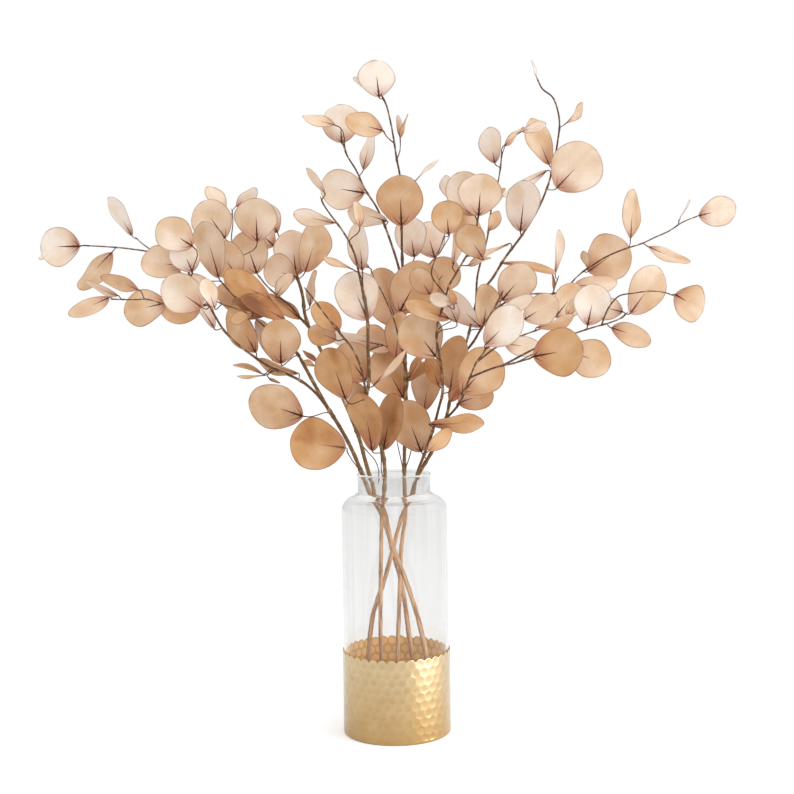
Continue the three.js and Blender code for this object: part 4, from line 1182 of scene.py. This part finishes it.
def cup_foot():
    """The cup's foot: from the zigzag under the lowest cells, a quarter of an ellipse turns in to
    the flat underside."""
    angle = np.arange(2 * CELLS_ROUND * CELL_SPLIT) * HALF_CELL / CELL_SPLIT / CUP_RADIUS
    low = np.abs(np.arange(len(angle)) / CELL_SPLIT % 2 - 1)
    heights = np.maximum(FIRST_ROW - CELL_SIDE * (0.5 + 0.5 * low), CUP_FOOT_HEIGHT)
    fall = np.radians(np.linspace(0, 90, CUP_FOOT_RINGS))[:, None]
    radius = CUP_FOOT_RADIUS + (CUP_RADIUS - CUP_FOOT_RADIUS) * np.cos(fall) + 0 * heights
    height = heights * (1 - np.sin(fall))
    return np.stack([radius * np.cos(angle), radius * np.sin(angle), height], axis=-1)


def make_cup(material, inside):
    """The cup: its cells, the foot and a flat underside, with the points that they share merged.
    The sheet gets its thickness, and its other finish, inwards."""
    cells, dish = cup_cells()
    foot = cup_foot()
    cell_number = np.arange(dish.size).reshape(dish.shape)
    foot_number = dish.size + np.arange(foot[..., 0].size).reshape(foot.shape[:2])
    faces = np.concatenate([
        between(cell_number[1:], cell_number[:-1]), between(foot_number[1:], foot_number[:-1]),
    ])
    points = np.concatenate([cells.reshape(-1, 3), foot.reshape(-1, 3)])
    dish = np.append(dish.ravel(), np.zeros(foot_number.size))
    kept, first, welded = np.unique(points.round(3), axis=0, return_index=True, return_inverse=True)
    welded = welded.ravel()
    faces = [list(dict.fromkeys(face)) for face in welded[faces].tolist()]
    faces.append(welded[foot_number[-1, ::-1]].tolist())
    piece = dress("gold_cup", kept, faces, material, "hammered_gold", "gold_honeycomb_cup",
                  smooth_deg=40, dish=dish[first])
    sheet = piece.modifiers.new("sheet", "SOLIDIFY")
    sheet.thickness = CUP_SHEET * MM
    sheet.offset = -1
    piece.data.materials.append(inside)
    sheet.material_offset = 1


def make_camera():
    """The camera at the photo's place: pitched down, and rolled about its own line of sight."""
    lens = bpy.data.cameras.new("camera")
    lens.sensor_width = SENSOR_MM
    lens.lens = FOCAL_PX * SENSOR_MM / PICTURE_PX
    lens.clip_end = 50
    camera = put("camera", lens)
    camera.matrix_world = (
        Matrix.Translation([length * MM for length in EYE])
        @ Matrix.Rotation(math.radians(90 - PITCH_DEG), 4, "X")
        @ Matrix.Rotation(-math.radians(ROLL_DEG), 4, "Z")
    )
    bpy.context.scene.camera = camera


def make_floor(material):
    """A wide flat floor, which runs out into the white of the room."""
    mesh = bpy.data.meshes.new("floor")
    corners = [(x * FLOOR_REACH, y * FLOOR_REACH, 0) for x, y in ((-1, -1), (1, -1), (1, 1), (-1, 1))]
    mesh.from_pydata(corners, [], [(0, 1, 2, 3)])
    mesh.materials.append(material)
    floor = put("floor", mesh)


def make_room(glass):
    """A white room. The camera sees plain white round the floor, and the rest is lit by a soft
    dome, brighter overhead and dimmer low down at the front, and by three lamps: a tall one at the
    right, a low one by the cup and one overhead."""
    world = bpy.data.worlds.new("white_room")
    world.use_nodes = True
    tree = world.node_tree
    tree.nodes.clear()
    way = add(tree, "TexCoord", output="Generated")
    dome = DOME_EVEN
    for axis, gain in (("Z", DOME_UP), ("Y", DOME_BACK), ("X", DOME_RIGHT)):
        part = add(tree, "SeparateXYZ", [way], axis)
        dome = add(tree, "Math", [part, gain, dome], operation="MULTIPLY_ADD")
    straight = add(tree, "LightPath", output="Is Camera Ray")
    strength = add(tree, "Mix", [straight, dome, 1.0], data_type="FLOAT")
    add(tree, "OutputWorld", {"Surface": add(tree, "Background", [linear("#ffffff"), strength])})
    scene = bpy.context.scene
    scene.world = world
    scene.view_settings.view_transform = "Standard"
    # Light gets through both walls of the bottle, off the cup behind it and out again
    scene.cycles.max_bounces = scene.cycles.transmission_bounces = MOST_BOUNCES
    scene.cycles.glossy_bounces = scene.cycles.transparent_max_bounces = MOST_BOUNCES
    # The lamps light everything but the bottle, which would show them as white squares
    lit = bpy.data.collections.new("lit_by_lamps")
    lit.objects.link(glass)
    lit.collection_objects[0].light_linking.link_state = "EXCLUDE"
    for name, place, aim, size, radiance, spread in LAMPS:
        lamp = bpy.data.lights.new(name, "AREA")
        lamp.shape = "RECTANGLE"
        lamp.size, lamp.size_y = size
        lamp.energy = math.pi * size[0] * size[1] * radiance
        lamp.spread = math.radians(spread)
        light = put(name, lamp)
        light.location = place
        light.rotation_euler = (Vector(place) - Vector(aim)).to_track_quat("Z", "Y").to_euler()
        light.visible_camera = False
        light.light_linking.receiver_collection = lit


make_camera()
make_floor(floor_material())
make_room(make_glass(glass_material()))
make_cup(gold_material(), gold_inside_material())
leaf_skin, stalk_skin, bark = leaf_material(), rib_material(), bark_material()
for stem_name, stem in lay_out().items():
    make_twigs(stem_name + "_twigs", stem.twigs, bark, stem_name)
    make_stalks(stem_name + "_stalks", stem.leaves, stalk_skin, stem_name)
    make_blades(stem_name + "_blades", stem.leaves, leaf_skin, stem_name)
